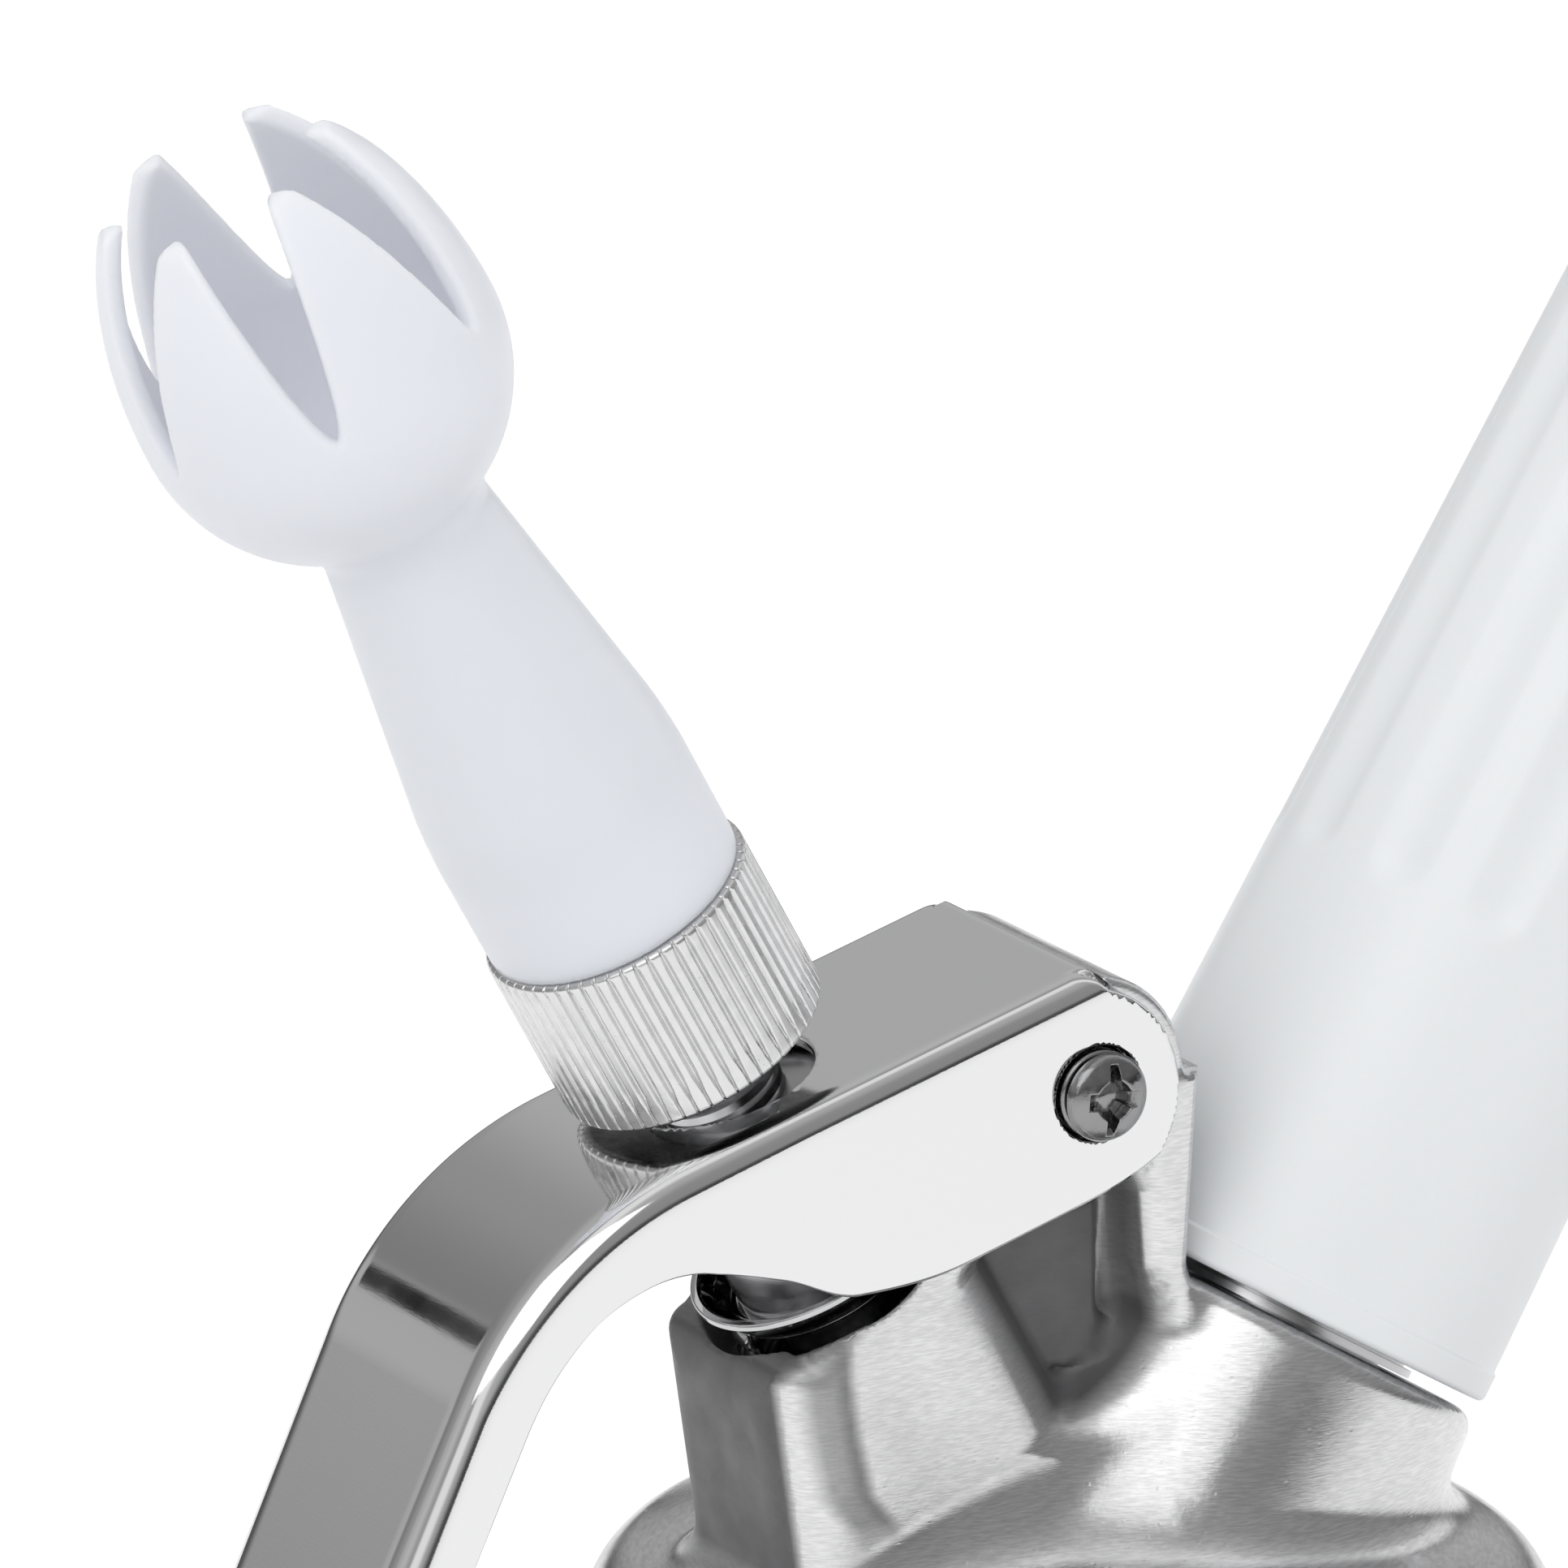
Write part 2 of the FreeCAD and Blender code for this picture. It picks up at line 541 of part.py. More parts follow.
def lever_solid(inset, half):
    """Full-depth slab of the lever's side view, with the cheek's wavy lower edge."""
    top, bend_start, bend_middle, bend_end, from_corner, run, _ = lever_side(inset)
    cheek = web_side(-CHEEK_END_SHIFT, 0)
    end_top = web_side(WEB_PAST_PIVOT, top)
    tip_out = from_corner(0, HANDLE_LENGTH, 0, inset)
    tip_in = from_corner(0, HANDLE_LENGTH, 0, HANDLE_DEPTH)
    bend_in = from_corner(0, run * 1.12, 0, HANDLE_DEPTH)
    slope = math.radians(LEVER_SLOPE)
    round_top = (cheek[0] + CHEEK_END_R * math.cos(math.radians(72)),
                 cheek[1] + CHEEK_END_R * math.sin(math.radians(72)))
    round_side = (cheek[0] + CHEEK_END_R, cheek[1])
    low_angle = slope - math.radians(52)
    round_low = (cheek[0] + CHEEK_END_R * math.cos(low_angle),
                 cheek[1] + CHEEK_END_R * math.sin(low_angle))
    inner_bend = from_corner(0, run * 0.45, 0, HANDLE_DEPTH * 1.2)
    # lower edge of the cheek as one smooth curve from the round end to the handle
    curve = Part.BSplineCurve()
    curve.interpolate([Vec(p[0], 0, p[1]) for p in
                       [round_low] + [web_side(-back, WEB_ABOVE_PIVOT - depth)
                                      for back, depth in CHEEK_EDGE] + [inner_bend, bend_in]],
                      InitialTangent=Vec(math.sin(low_angle), 0, -math.cos(low_angle)),
                      FinalTangent=Vec(-math.sin(math.radians(HANDLE_FALL)), 0,
                                       -math.cos(math.radians(HANDLE_FALL))))
    edges = [
        Part.LineSegment(Vec(*web_xyz(end_top)), Vec(*web_xyz(bend_start))).toShape(),
        arc_through(bend_start, bend_middle, bend_end),
        Part.LineSegment(Vec(*web_xyz(bend_end)), Vec(*web_xyz(tip_out))).toShape(),
        Part.LineSegment(Vec(*web_xyz(tip_out)), Vec(*web_xyz(tip_in))).toShape(),
        Part.LineSegment(Vec(*web_xyz(tip_in)), Vec(*web_xyz(bend_in))).toShape(),
        curve.toShape(),
        arc_through(round_low, round_side, round_top),
        Part.LineSegment(Vec(*web_xyz(round_top)), Vec(*web_xyz(end_top))).toShape(),
    ]
    return slab(Part.Face(Part.Wire(Part.__sortEdges__(edges))), half)


def web_xyz(point):
    """(x, z) as three coordinates in the XZ plane."""
    return (point[0], 0, point[1])


def make_lever():
    """Folded channel: a web over the valve, two cheeks on the pivot and a long handle."""
    half = LEVER_WIDTH / 2
    outer = lever_solid(0, half)
    fold_edges = []
    for edge in outer.Edges:
        box = edge.BoundBox
        flat = box.YLength < 1e-6
        if not flat:
            continue
        middle = edge.valueAt((edge.FirstParameter + edge.LastParameter) / 2)
        if on_outer_line(middle):
            fold_edges.append(edge)
    outer = outer.makeFillet(CHANNEL_EDGE_R, fold_edges)
    hollow = lever_hollow(half - LEVER_SHEET)
    inner_edges = [edge for edge in hollow.Edges if edge.BoundBox.YLength < 1e-6
                   and on_outer_line(edge.valueAt((edge.FirstParameter + edge.LastParameter) / 2),
                                     LEVER_SHEET)]
    hollow = hollow.makeFillet(CHANNEL_EDGE_R - LEVER_SHEET, inner_edges)
    # the web is cut off square past the pivot, so the lug shows between the cheeks
    far = CHEEK_END_R + 10
    end = slab(outline(web_side(WEB_PAST_PIVOT, -far), web_side(far, -far), web_side(far, far),
                       web_side(WEB_PAST_PIVOT, far)), half - LEVER_SHEET)
    channel = outer.cut([hollow, end])
    pivot_hole = Part.makeCylinder(PIVOT_BUSH_R + RUNNING_GAP, LEVER_WIDTH + 2,
                                   Vec(PIVOT_X, -half - 1, PIVOT_Z), Vec(0, 1, 0))
    slope = math.radians(LEVER_SLOPE)
    cross = stem_crossing()
    hole = Part.makeCylinder(STEM_HOLE_R, 24,
                             Vec(cross[0] + 12 * math.sin(slope), 0, cross[1] - 12 * math.cos(slope)),
                             Vec(-math.sin(slope), 0, math.cos(slope)))
    return channel.cut([pivot_hole, hole]).cut(tip_corners(half))


def stem_crossing():
    """(x, z) where the nozzle port crosses the middle of the web at rest."""
    tilt = math.radians(NOZZLE_TILT)
    slope = math.radians(LEVER_SLOPE)
    middle = WEB_ABOVE_PIVOT - LEVER_SHEET / 2
    normal = (-math.sin(slope), math.cos(slope))
    along = (middle - (0 - PIVOT_X) * normal[0] - (MEET_Z - PIVOT_Z) * normal[1]) / (
        -math.sin(tilt) * normal[0] + math.cos(tilt) * normal[1])
    return nozzle_point(0, along)


def on_outer_line(point, inset=0.0):
    """True for a point on the web, bend or handle line, moved in by inset."""
    _, _, _, _, from_corner, run, centre = lever_side(0)
    slope = math.radians(LEVER_SLOPE)
    fall = math.radians(HANDLE_FALL)
    corner = from_corner(0, 0, 0, 0)
    dx, dz = point.x - corner[0], point.z - corner[1]
    web_gap = -dx * math.sin(slope) + dz * math.cos(slope) + inset
    handle_gap = -dx * math.cos(fall) + dz * math.sin(fall) + inset
    along_web = dx * math.cos(slope) + dz * math.sin(slope)
    along_handle = -dx * math.sin(fall) - dz * math.cos(fall)
    radius = math.hypot(point.x - centre[0], point.z - centre[1])
    on_web = abs(web_gap) < 0.02 and along_web > run * 0.9
    on_handle = abs(handle_gap) < 0.02 and along_handle > run * 0.9
    on_bend = abs(radius - (BEND_R - inset)) < 0.02 and along_web < run * 1.1
    return on_web or on_handle or (on_bend and along_handle < run * 1.1)


def lever_hollow(half):
    """Room inside the channel, open below and past both ends."""
    top, bend_start, bend_middle, bend_end, from_corner, run, _ = lever_side(LEVER_SHEET)
    past = WEB_PAST_PIVOT + CHEEK_END_R + 10
    deep = 60.0
    edges = [
        Part.LineSegment(Vec(*web_xyz(web_side(past, top))), Vec(*web_xyz(bend_start))).toShape(),
        arc_through(bend_start, bend_middle, bend_end),
        Part.LineSegment(Vec(*web_xyz(bend_end)),
                         Vec(*web_xyz(from_corner(0, HANDLE_LENGTH + 10, 0, LEVER_SHEET)))).toShape(),
        Part.LineSegment(Vec(*web_xyz(from_corner(0, HANDLE_LENGTH + 10, 0, LEVER_SHEET))),
                         Vec(*web_xyz(from_corner(0, HANDLE_LENGTH + 10, 0, deep)))).toShape(),
        Part.LineSegment(Vec(*web_xyz(from_corner(0, HANDLE_LENGTH + 10, 0, deep))),
                         Vec(*web_xyz(web_side(past, -deep)))).toShape(),
        Part.LineSegment(Vec(*web_xyz(web_side(past, -deep))),
                         Vec(*web_xyz(web_side(past, top)))).toShape(),
    ]
    return slab(Part.Face(Part.Wire(edges)), half)


def tip_corners(half):
    """Two cutters that round the corners of the handle's tip, seen square to the handle."""
    _, _, _, _, from_corner, _, _ = lever_side(0)
    fall = HANDLE_FALL
    reach = HANDLE_END_R
    cutters = []
    for side in (-1, 1):
        block = Part.makeBox(reach + 1, reach + 1, 30, Vec(0, half - reach, -15))
        pin = Part.makeCylinder(reach, 40, Vec(0, half - reach, -20))
        piece = block.cut(pin)
        if side < 0:
            piece = piece.mirror(Vec(0, 0, 0), Vec(0, 1, 0))
        piece.translate(Vec(-reach, 0, 0))
        piece.rotate(Vec(0, 0, 0), Vec(0, 1, 0), 90 + fall)
        tip = from_corner(0, HANDLE_LENGTH, 0, 0)
        piece.translate(Vec(tip[0], 0, tip[1]))
        cutters.append(piece)
    return cutters


def make_pivot_bush():
    half = LEVER_WIDTH / 2
    tube = Part.makeCylinder(PIVOT_BUSH_R, 2 * half, Vec(PIVOT_X, -half, PIVOT_Z), Vec(0, 1, 0))
    bore = Part.makeCylinder(PIVOT_SCREW_R + RUNNING_GAP, 2 * half + 2,
                             Vec(PIVOT_X, -half - 1, PIVOT_Z), Vec(0, 1, 0))
    return tube.cut(bore)


def pan_head(cross):
    """Pan head drawn with its seat on z = 0, crowned by part of a sphere."""
    rise = SCREW_HEAD_HEIGHT
    crown = rise * 0.55
    ball = (SCREW_HEAD_R ** 2 + crown ** 2) / (2 * crown)
    half = SCREW_HEAD_R / 2
    head = turned((0, 0), (SCREW_HEAD_R, 0), (SCREW_HEAD_R, rise - crown),
                  ((half, rise - ball + math.sqrt(ball ** 2 - half ** 2)), (0, rise)))
    if not cross:
        return head
    slots = []
    for angle in (0, 90):
        slot = Part.makeBox(CROSS_LENGTH, CROSS_WIDTH, CROSS_DEPTH + 1,
                            Vec(-CROSS_LENGTH / 2, -CROSS_WIDTH / 2, rise - CROSS_DEPTH))
        slot.rotate(Vec(0, 0, 0), Vec(0, 0, 1), angle)
        slots.append(slot)
    return head.cut(slots)


def make_pivot_screw():
    half = LEVER_WIDTH / 2
    head = pan_head(True)
    head.rotate(Vec(0, 0, 0), Vec(1, 0, 0), 90)
    head.translate(Vec(PIVOT_X, -half, PIVOT_Z))
    shank = Part.makeCylinder(PIVOT_SCREW_R, 2 * half + 0.6,
                              Vec(PIVOT_X, -half, PIVOT_Z), Vec(0, 1, 0))
    return head.fuse(shank)


def make_pivot_nut():
    """Domed nut that closes the far end of the screw."""
    half = LEVER_WIDTH / 2
    nut = pan_head(False)
    nut.rotate(Vec(0, 0, 0), Vec(1, 0, 0), -90)
    nut.translate(Vec(PIVOT_X, half, PIVOT_Z))
    socket = Part.makeCylinder(PIVOT_SCREW_R, 0.6, Vec(PIVOT_X, half, PIVOT_Z), Vec(0, 1, 0))
    return nut.cut(socket)


# ================================================================ dispensing valve
def make_guide_bush():
    return on_nozzle(drum(BUSH_R, SEAT_V, BUSH_TOP_V).cut(
        drum(STEM_R + RUNNING_GAP, SEAT_V - 1, BUSH_TOP_V + 1)))


def make_valve_stem():
    """Hollow stem: closed rod at its foot, side inlets, step for the cup, shoulder, thread."""
    foot = SEAT_V - SEAL_HEIGHT - SEAL_NUT_HEIGHT
    ring_foot = SHOULDER_TOP_V - SHOULDER_RING_HEIGHT
    body = turned((0, foot), (STEM_ROD_R, foot), (STEM_ROD_R, STEM_TUBE_FOOT_V - 0.8),
                  (STEM_R, STEM_TUBE_FOOT_V + 1.0), (STEM_R, STEM_STEP_V), (STEM_STEP_R, STEM_STEP_V),
                  (STEM_STEP_R, ring_foot - SHOULDER_FLARE), (SHOULDER_RING_R, ring_foot),
                  (SHOULDER_RING_R, SHOULDER_TOP_V), (STEM_R, SHOULDER_TOP_V),
                  (STEM_R, STEM_TOP_V), (0, STEM_TOP_V))
    bore = drum(STEM_BORE_R, INLET_V - INLET_R - 0.4, STEM_TOP_V + 1)
    grooves = [drum(STEM_R + 1, v - O_RING_WIRE_R * 1.2, v + O_RING_WIRE_R * 1.2).cut(
        drum(STEM_R - 2 * O_RING_WIRE_R, v - 2, v + 2)) for v in O_RING_V]
    inlets = []
    for angle in (0, 90):
        hole = Part.makeCylinder(INLET_R, 4 * STEM_R, Vec(-2 * STEM_R, 0, INLET_V), Vec(1, 0, 0))
        hole.rotate(Vec(0, 0, 0), Vec(0, 0, 1), angle)
        inlets.append(hole)
    relief = drum(STEM_R + 1, INLET_V - INLET_R - 3, INLET_V + INLET_R + 0.3).cut(
        drum(STEM_R - 0.6, INLET_V - INLET_R - 4, INLET_V + INLET_R + 1))
    thread = [drum(STEM_R + 1, v, v + 0.45).cut(drum(STEM_R - 0.4, v - 1, v + 2))
              for v in thread_grooves()]
    return on_nozzle(body.cut([bore, relief] + grooves + inlets + thread))


def thread_grooves():
    """Foot heights of the plain grooves that stand for the stem's screw thread."""
    pitch = 1.0
    start = SHOULDER_TOP_V + 1.0
    count = int((STEM_TOP_V - 0.6 - start) / pitch)
    return [start + pitch * index for index in range(count)]


def make_stem_o_rings():
    rings = [ring_wire(STEM_R - O_RING_WIRE_R, O_RING_WIRE_R, v) for v in O_RING_V]
    return on_nozzle(Part.makeCompound(rings))


def make_valve_seal():
    low = SEAT_V - SEAL_HEIGHT
    return on_nozzle(turned((STEM_ROD_R, low), (SEAL_R - 1.6, low), (SEAL_R, SEAT_V - 1.0),
                            (SEAL_R, SEAT_V), (STEM_ROD_R, SEAT_V)))


def make_seal_nut():
    high = SEAT_V - SEAL_HEIGHT
    low = high - SEAL_NUT_HEIGHT
    hexagon = Part.makePolygon([Vec(SEAL_NUT_R * math.cos(math.radians(60 * k)),
                                    SEAL_NUT_R * math.sin(math.radians(60 * k)), low)
                                for k in range(7)])
    nut = Part.Face(hexagon).extrude(Vec(0, 0, SEAL_NUT_HEIGHT))
    return on_nozzle(nut.cut(drum(STEM_ROD_R, low - 1, high + 1)))


def make_spring_cup():
    """Polished dished washer: flat floor on the spring, wall flaring to a rim."""
    floor = STEM_STEP_V - CUP_WALL
    rim = STEM_STEP_V + CUP_RISE - CUP_WALL
    shelf = CUP_R - 1.4
    return on_nozzle(turned((STEM_R, floor), (shelf, floor),
                            ((CUP_R - 0.35, floor + 0.75), (CUP_R, rim)),
                            (CUP_R - CUP_WALL * 0.75, rim + 0.15),
                            ((CUP_R - 0.95, floor + 1.35), (shelf - 0.6, STEM_STEP_V)),
                            (STEM_R, STEM_STEP_V)))


def make_return_spring():
    """Compression coil between the bush and the cup, with closed ends cut flat."""
    low = BUSH_TOP_V + SPRING_WIRE_R
    high = STEM_STEP_V - CUP_WALL - SPRING_WIRE_R
    pitch = (high - low) / SPRING_COILS
    helix = Part.makeHelix(pitch, high - low, SPRING_MEAN_R)
    helix.translate(Vec(0, 0, low))
    start = Vec(SPRING_MEAN_R, 0, low)
    circle = Part.Wire(Part.Circle(start, Vec(0, 1, 0), SPRING_WIRE_R).toShape())
    coil = Part.Wire(helix.Edges).makePipeShell([circle], True, False)
    return on_nozzle(coil)


# ================================================================ tip with its metal insert
def make_knurled_insert():
    """Knurled collar with a female thread below and a spigot moulded into the tip above."""
    top = TIP_BASE_V
    edge = 0.5
    body = turned((0, COLLAR_V), (COLLAR_R - edge, COLLAR_V), (COLLAR_R, COLLAR_V + edge),
                  (COLLAR_R, top - edge), (COLLAR_R - edge, top), (SPIGOT_R, top),
                  (SPIGOT_R, top + SPIGOT_HEIGHT), (0, top + SPIGOT_HEIGHT))
    ledge = STEM_TOP_V + 0.1 + TIP_WASHER_HEIGHT
    bores = [drum(STEM_R + RUNNING_GAP, COLLAR_V - 1, ledge),
             drum(SPIGOT_BORE_R, ledge - 1, top + SPIGOT_HEIGHT + 1)]
    half = KNURL_DEPTH
    notch = outline((COLLAR_R - KNURL_DEPTH, 0), (COLLAR_R + half, half * 2), (COLLAR_R + half, -half * 2))
    notch.rotate(Vec(0, 0, 0), Vec(1, 0, 0), 90)
    groove = notch.extrude(Vec(0, 0, COLLAR_HEIGHT + 2))
    groove.translate(Vec(0, 0, COLLAR_V - 1))
    return on_nozzle(body.cut(bores + around(groove, KNURL_COUNT)))


def make_tip_washer():
    low = STEM_TOP_V + 0.1
    return on_nozzle(drum(STEM_R - 0.05, low, low + TIP_WASHER_HEIGHT).cut(
        drum(STEM_BORE_R + 0.2, low - 1, low + 2)))


def tip_shell(inset, base, top):
    """Tip's outline shrunk by inset: sleeve, cone, bulb and the taller ellipse above it."""
    base_v = TIP_BASE_V
    centre = base_v + BULB_CENTRE
    ball = BULB_R - inset
    neck = TIP_NECK_R - inset
    neck_v = centre - math.sqrt(ball ** 2 - neck ** 2)
    tall = BULB_UPPER_HEIGHT - inset
    upper = top - centre
    top_r = ball * math.sqrt(max(1 - (upper / tall) ** 2, 0.01))
    mid_r = ball * math.sqrt(1 - (upper * 0.5 / tall) ** 2)
    low_angle = math.atan2(neck_v - centre, neck)
    ellipse_points = [Vec(ball * math.sqrt(max(1 - (upper * share / tall) ** 2, 0.01)), 0,
                          centre + upper * share) for share in (0, 0.25, 0.5, 0.75, 1)]
    petal_curve = Part.BSplineCurve()
    petal_curve.interpolate(ellipse_points, InitialTangent=Vec(0, 0, 1),
                            FinalTangent=Vec(-(upper / tall) / max(top_r / ball, 0.05) * ball / tall, 0, 1))
    ball_mid = (ball * math.cos(low_angle / 2), centre + ball * math.sin(low_angle / 2))
    points = [(0, base), (TIP_BASE_R - inset, base), (TIP_STEP_R - inset, base_v + TIP_STEP_HEIGHT),
              (neck, neck_v)]
    edges = [Part.LineSegment(Vec(a[0], 0, a[1]), Vec(b[0], 0, b[1])).toShape()
             for a, b in zip(points[:-1], points[1:])]
    edges.append(arc_through((neck, neck_v), ball_mid, (ball, centre)))
    edges.append(petal_curve.toShape())
    last = ellipse_points[-1]
    edges.append(Part.LineSegment(last, Vec(0, 0, top)).toShape())
    edges.append(Part.LineSegment(Vec(0, 0, top), Vec(0, 0, base)).toShape())
    return Part.Face(Part.Wire(edges)).revolve(Vec(0, 0, 0), Vec(0, 0, 1), 360)


def notch_cutter():
    """V-shaped gap between two petals: half width grows as a power of the height."""
    root = TIP_BASE_V + NOTCH_ROOT
    top = TIP_BASE_V + TIP_LENGTH
    rise = top - root
    upper = top - (TIP_BASE_V + BULB_CENTRE)
    top_r = BULB_R * math.sqrt(1 - (upper / BULB_UPPER_HEIGHT) ** 2)
    open_angle = math.pi / PETALS - math.asin(PETAL_TIP_HALF / top_r)
    mouth = top_r * math.sin(open_angle)
    shares = (0.0, 0.12, 0.3, 0.6, 1.0, 1.12)
    side = [Vec(0, mouth * share ** NOTCH_POWER, root + rise * share) for share in shares]
    curve = Part.BSplineCurve()
    curve.interpolate(side)
    mirrored = Part.BSplineCurve()
    mirrored.interpolate([Vec(0, -p.y, p.z) for p in side])
    lid = Part.LineSegment(side[-1], Vec(0, -side[-1].y, side[-1].z))
    face = Part.Face(Part.Wire(Part.__sortEdges__([curve.toShape(), lid.toShape(),
                                                   mirrored.toShape()])))
    return face.extrude(Vec(BULB_R + 5, 0, 0))


def make_decorating_tip():
    top = TIP_BASE_V + TIP_LENGTH
    outer = tip_shell(0, TIP_BASE_V, top)
    inner = tip_shell(TIP_WALL, TIP_BASE_V + SPIGOT_HEIGHT, top + 1.5)
    socket = drum(SPIGOT_R, TIP_BASE_V - 1, TIP_BASE_V + SPIGOT_HEIGHT)
    shell = outer.cut([inner, socket])
    notches = around(notch_cutter(), PETALS)
    for notch in notches:
        notch.rotate(Vec(0, 0, 0), Vec(0, 0, 1), PETAL_TURN)
    return on_nozzle(shell.cut(notches))


# ================================================================ charger holder
def holder_radius(height):
    """Outer radius of the holder at a height above its foot."""
    return HOLDER_FOOT_R - HOLDER_LIP_STEP - HOLDER_TAPER * height


def make_charger_holder():
    foot = HOLDER_FOOT
    top = foot + HOLDER_LENGTH
    crown = HOLDER_CROWN_R
    low_r = holder_radius(HOLDER_LIP_HEIGHT)
    high_r = holder_radius(HOLDER_LENGTH - crown)
    body = turned((0, foot), (HOLDER_FOOT_R - 0.4, foot), (HOLDER_FOOT_R, foot + 0.4),
                  (HOLDER_FOOT_R, foot + HOLDER_LIP_HEIGHT), (low_r, foot + HOLDER_LIP_HEIGHT + 0.2),
                  (high_r, top - crown),
                  ((high_r - crown + crown * math.cos(math.pi / 4),
                    top - crown + crown * math.sin(math.pi / 4)), (high_r - crown, top)), (0, top))
    bore_top = CHARGER_FOOT + CHARGER_LENGTH + 0.1
    round_foot = bore_top - HOLDER_BORE_R
    bore = turned((0, foot - 1), (HOLDER_BORE_R, foot - 1), (HOLDER_BORE_R, round_foot),
                  ((HOLDER_BORE_R * math.cos(math.pi / 4),
                    round_foot + HOLDER_BORE_R * math.sin(math.pi / 4)), (0, bore_top)))
    insert_room = drum(INSERT_R, foot - 1, foot + INSERT_SET_UP + INSERT_HEIGHT)
    flute_foot = foot + FLUTE_FOOT
    lean = math.degrees(math.atan(HOLDER_TAPER))
    radius = holder_radius(FLUTE_FOOT)
    groove = Part.makeCylinder(FLUTE_R, HOLDER_LENGTH, Vec(0, 0, 0)).fuse(
        Part.makeSphere(FLUTE_R))
    groove.rotate(Vec(0, 0, 0), Vec(0, 1, 0), -lean)
    groove.translate(Vec(radius + FLUTE_R - FLUTE_DEPTH, 0, flute_foot))
    return on_charger(body.cut([bore, insert_room] + around(groove, FLUTES)))


def make_holder_insert():
    low = HOLDER_FOOT + INSERT_SET_UP
    return on_charger(drum(INSERT_R, low, low + INSERT_HEIGHT).cut(
        drum(HOLDER_THREAD_R + THREAD_GAP, low - 1, low + INSERT_HEIGHT + 1)))


def make_charger():
    """Sealed steel gas bulb, neck down, with the pierced hole in its cap."""
    foot = CHARGER_FOOT
    neck_top = foot + CHARGER_NECK
    body_foot = neck_top + CHARGER_SHOULDER
    top = foot + CHARGER_LENGTH
    round_foot = top - CHARGER_R
    sine = math.sin(math.pi / 4)
    skin = turned((0, foot), (CHARGER_NECK_R - 0.5, foot), (CHARGER_NECK_R, foot + 0.5),
                  (CHARGER_NECK_R, neck_top),
                  ((CHARGER_R - (CHARGER_R - CHARGER_NECK_R) * (1 - sine) - 0.2,
                    body_foot - CHARGER_SHOULDER * (1 - sine) * 1.6), (CHARGER_R, body_foot)),
                  (CHARGER_R, round_foot), ((CHARGER_R * sine, round_foot + CHARGER_R * sine), (0, top)))
    wall = CHARGER_WALL
    inner_r = CHARGER_R - wall
    neck_r = CHARGER_NECK_R - wall
    hollow = turned((0, foot + wall), (neck_r, foot + wall), (neck_r, neck_top),
                    (inner_r, body_foot + wall * 0.5), (inner_r, round_foot),
                    ((inner_r * sine, round_foot + inner_r * sine), (0, round_foot + inner_r)))
    return on_charger(skin.cut([hollow, drum(PIERCED_R, foot - 1, foot + wall + 0.5)]))


def make_pin_holder():
    """Steel plug screwed into the boss, with a threaded spigot for the holder above it."""
    low = CHARGER_BOSS_TOP - PIN_PLUG_DEPTH
    body = drum(PIN_PLUG_R, low, CHARGER_BOSS_TOP).fuse(
        turned((0, CHARGER_BOSS_TOP), (HOLDER_THREAD_R, CHARGER_BOSS_TOP),
               (HOLDER_THREAD_R, SPIGOT_TOP - 0.6), (HOLDER_THREAD_R - 0.6, SPIGOT_TOP),
               (0, SPIGOT_TOP)))
    grooves = []
    pitch = 1.5
    for index in range(int((SPIGOT_TOP - 1.2 - CHARGER_BOSS_TOP) / pitch)):
        v = CHARGER_BOSS_TOP + 0.5 + pitch * index
        grooves.append(drum(HOLDER_THREAD_R + 1, v, v + 0.7).cut(
            drum(HOLDER_THREAD_R - 0.6, v - 1, v + 2)))
    bores = [drum(NECK_SEAT_R, NECK_SEAT, SPIGOT_TOP + 1),
             drum(PIN_SHAFT_HOLE_R, low, NECK_SEAT + 1),
             drum(PIN_FOOT_R, low - 1, PIN_FOOT + PIN_FOOT_HEIGHT)]
    return on_charger(body.cut(bores + grooves))


def make_piercing_pin():
    """Hollow needle on a foot that seats under the plug's step."""
    tip_r = PIN_BORE_R + 0.12
    body = turned((0, PIN_FOOT), (PIN_FOOT_R, PIN_FOOT), (PIN_FOOT_R, PIN_FOOT + PIN_FOOT_HEIGHT),
                  (PIN_R, PIN_FOOT + PIN_FOOT_HEIGHT), (PIN_R, PIN_TIP - PIN_POINT),
                  (tip_r, PIN_TIP), (0, PIN_TIP))
    return on_charger(body.cut(drum(PIN_BORE_R, PIN_FOOT - 1, PIN_TIP + 1)))


def make_charger_gasket():
    return on_charger(drum(NECK_SEAT_R, NECK_SEAT, NECK_SEAT + GASKET_THICK).cut(
        drum(GASKET_HOLE_R, NECK_SEAT - 1, NECK_SEAT + GASKET_THICK + 1)))


def make_check_valve():
    """Rubber plug that lets gas down and keeps cream out, held under the pin's foot."""
    low = CHECK_SEAT
    plug_foot = CHARGER_BOSS_TOP - PIN_PLUG_DEPTH
    stub = PIN_FOOT_R
    body = turned((0, low), (CHECK_R, low), (CHECK_R, plug_foot), (stub, plug_foot),
                  (stub, PIN_FOOT), (0, PIN_FOOT))
    return on_charger(body.cut(drum(PIN_BORE_R, low - 1, PIN_FOOT + 1)))


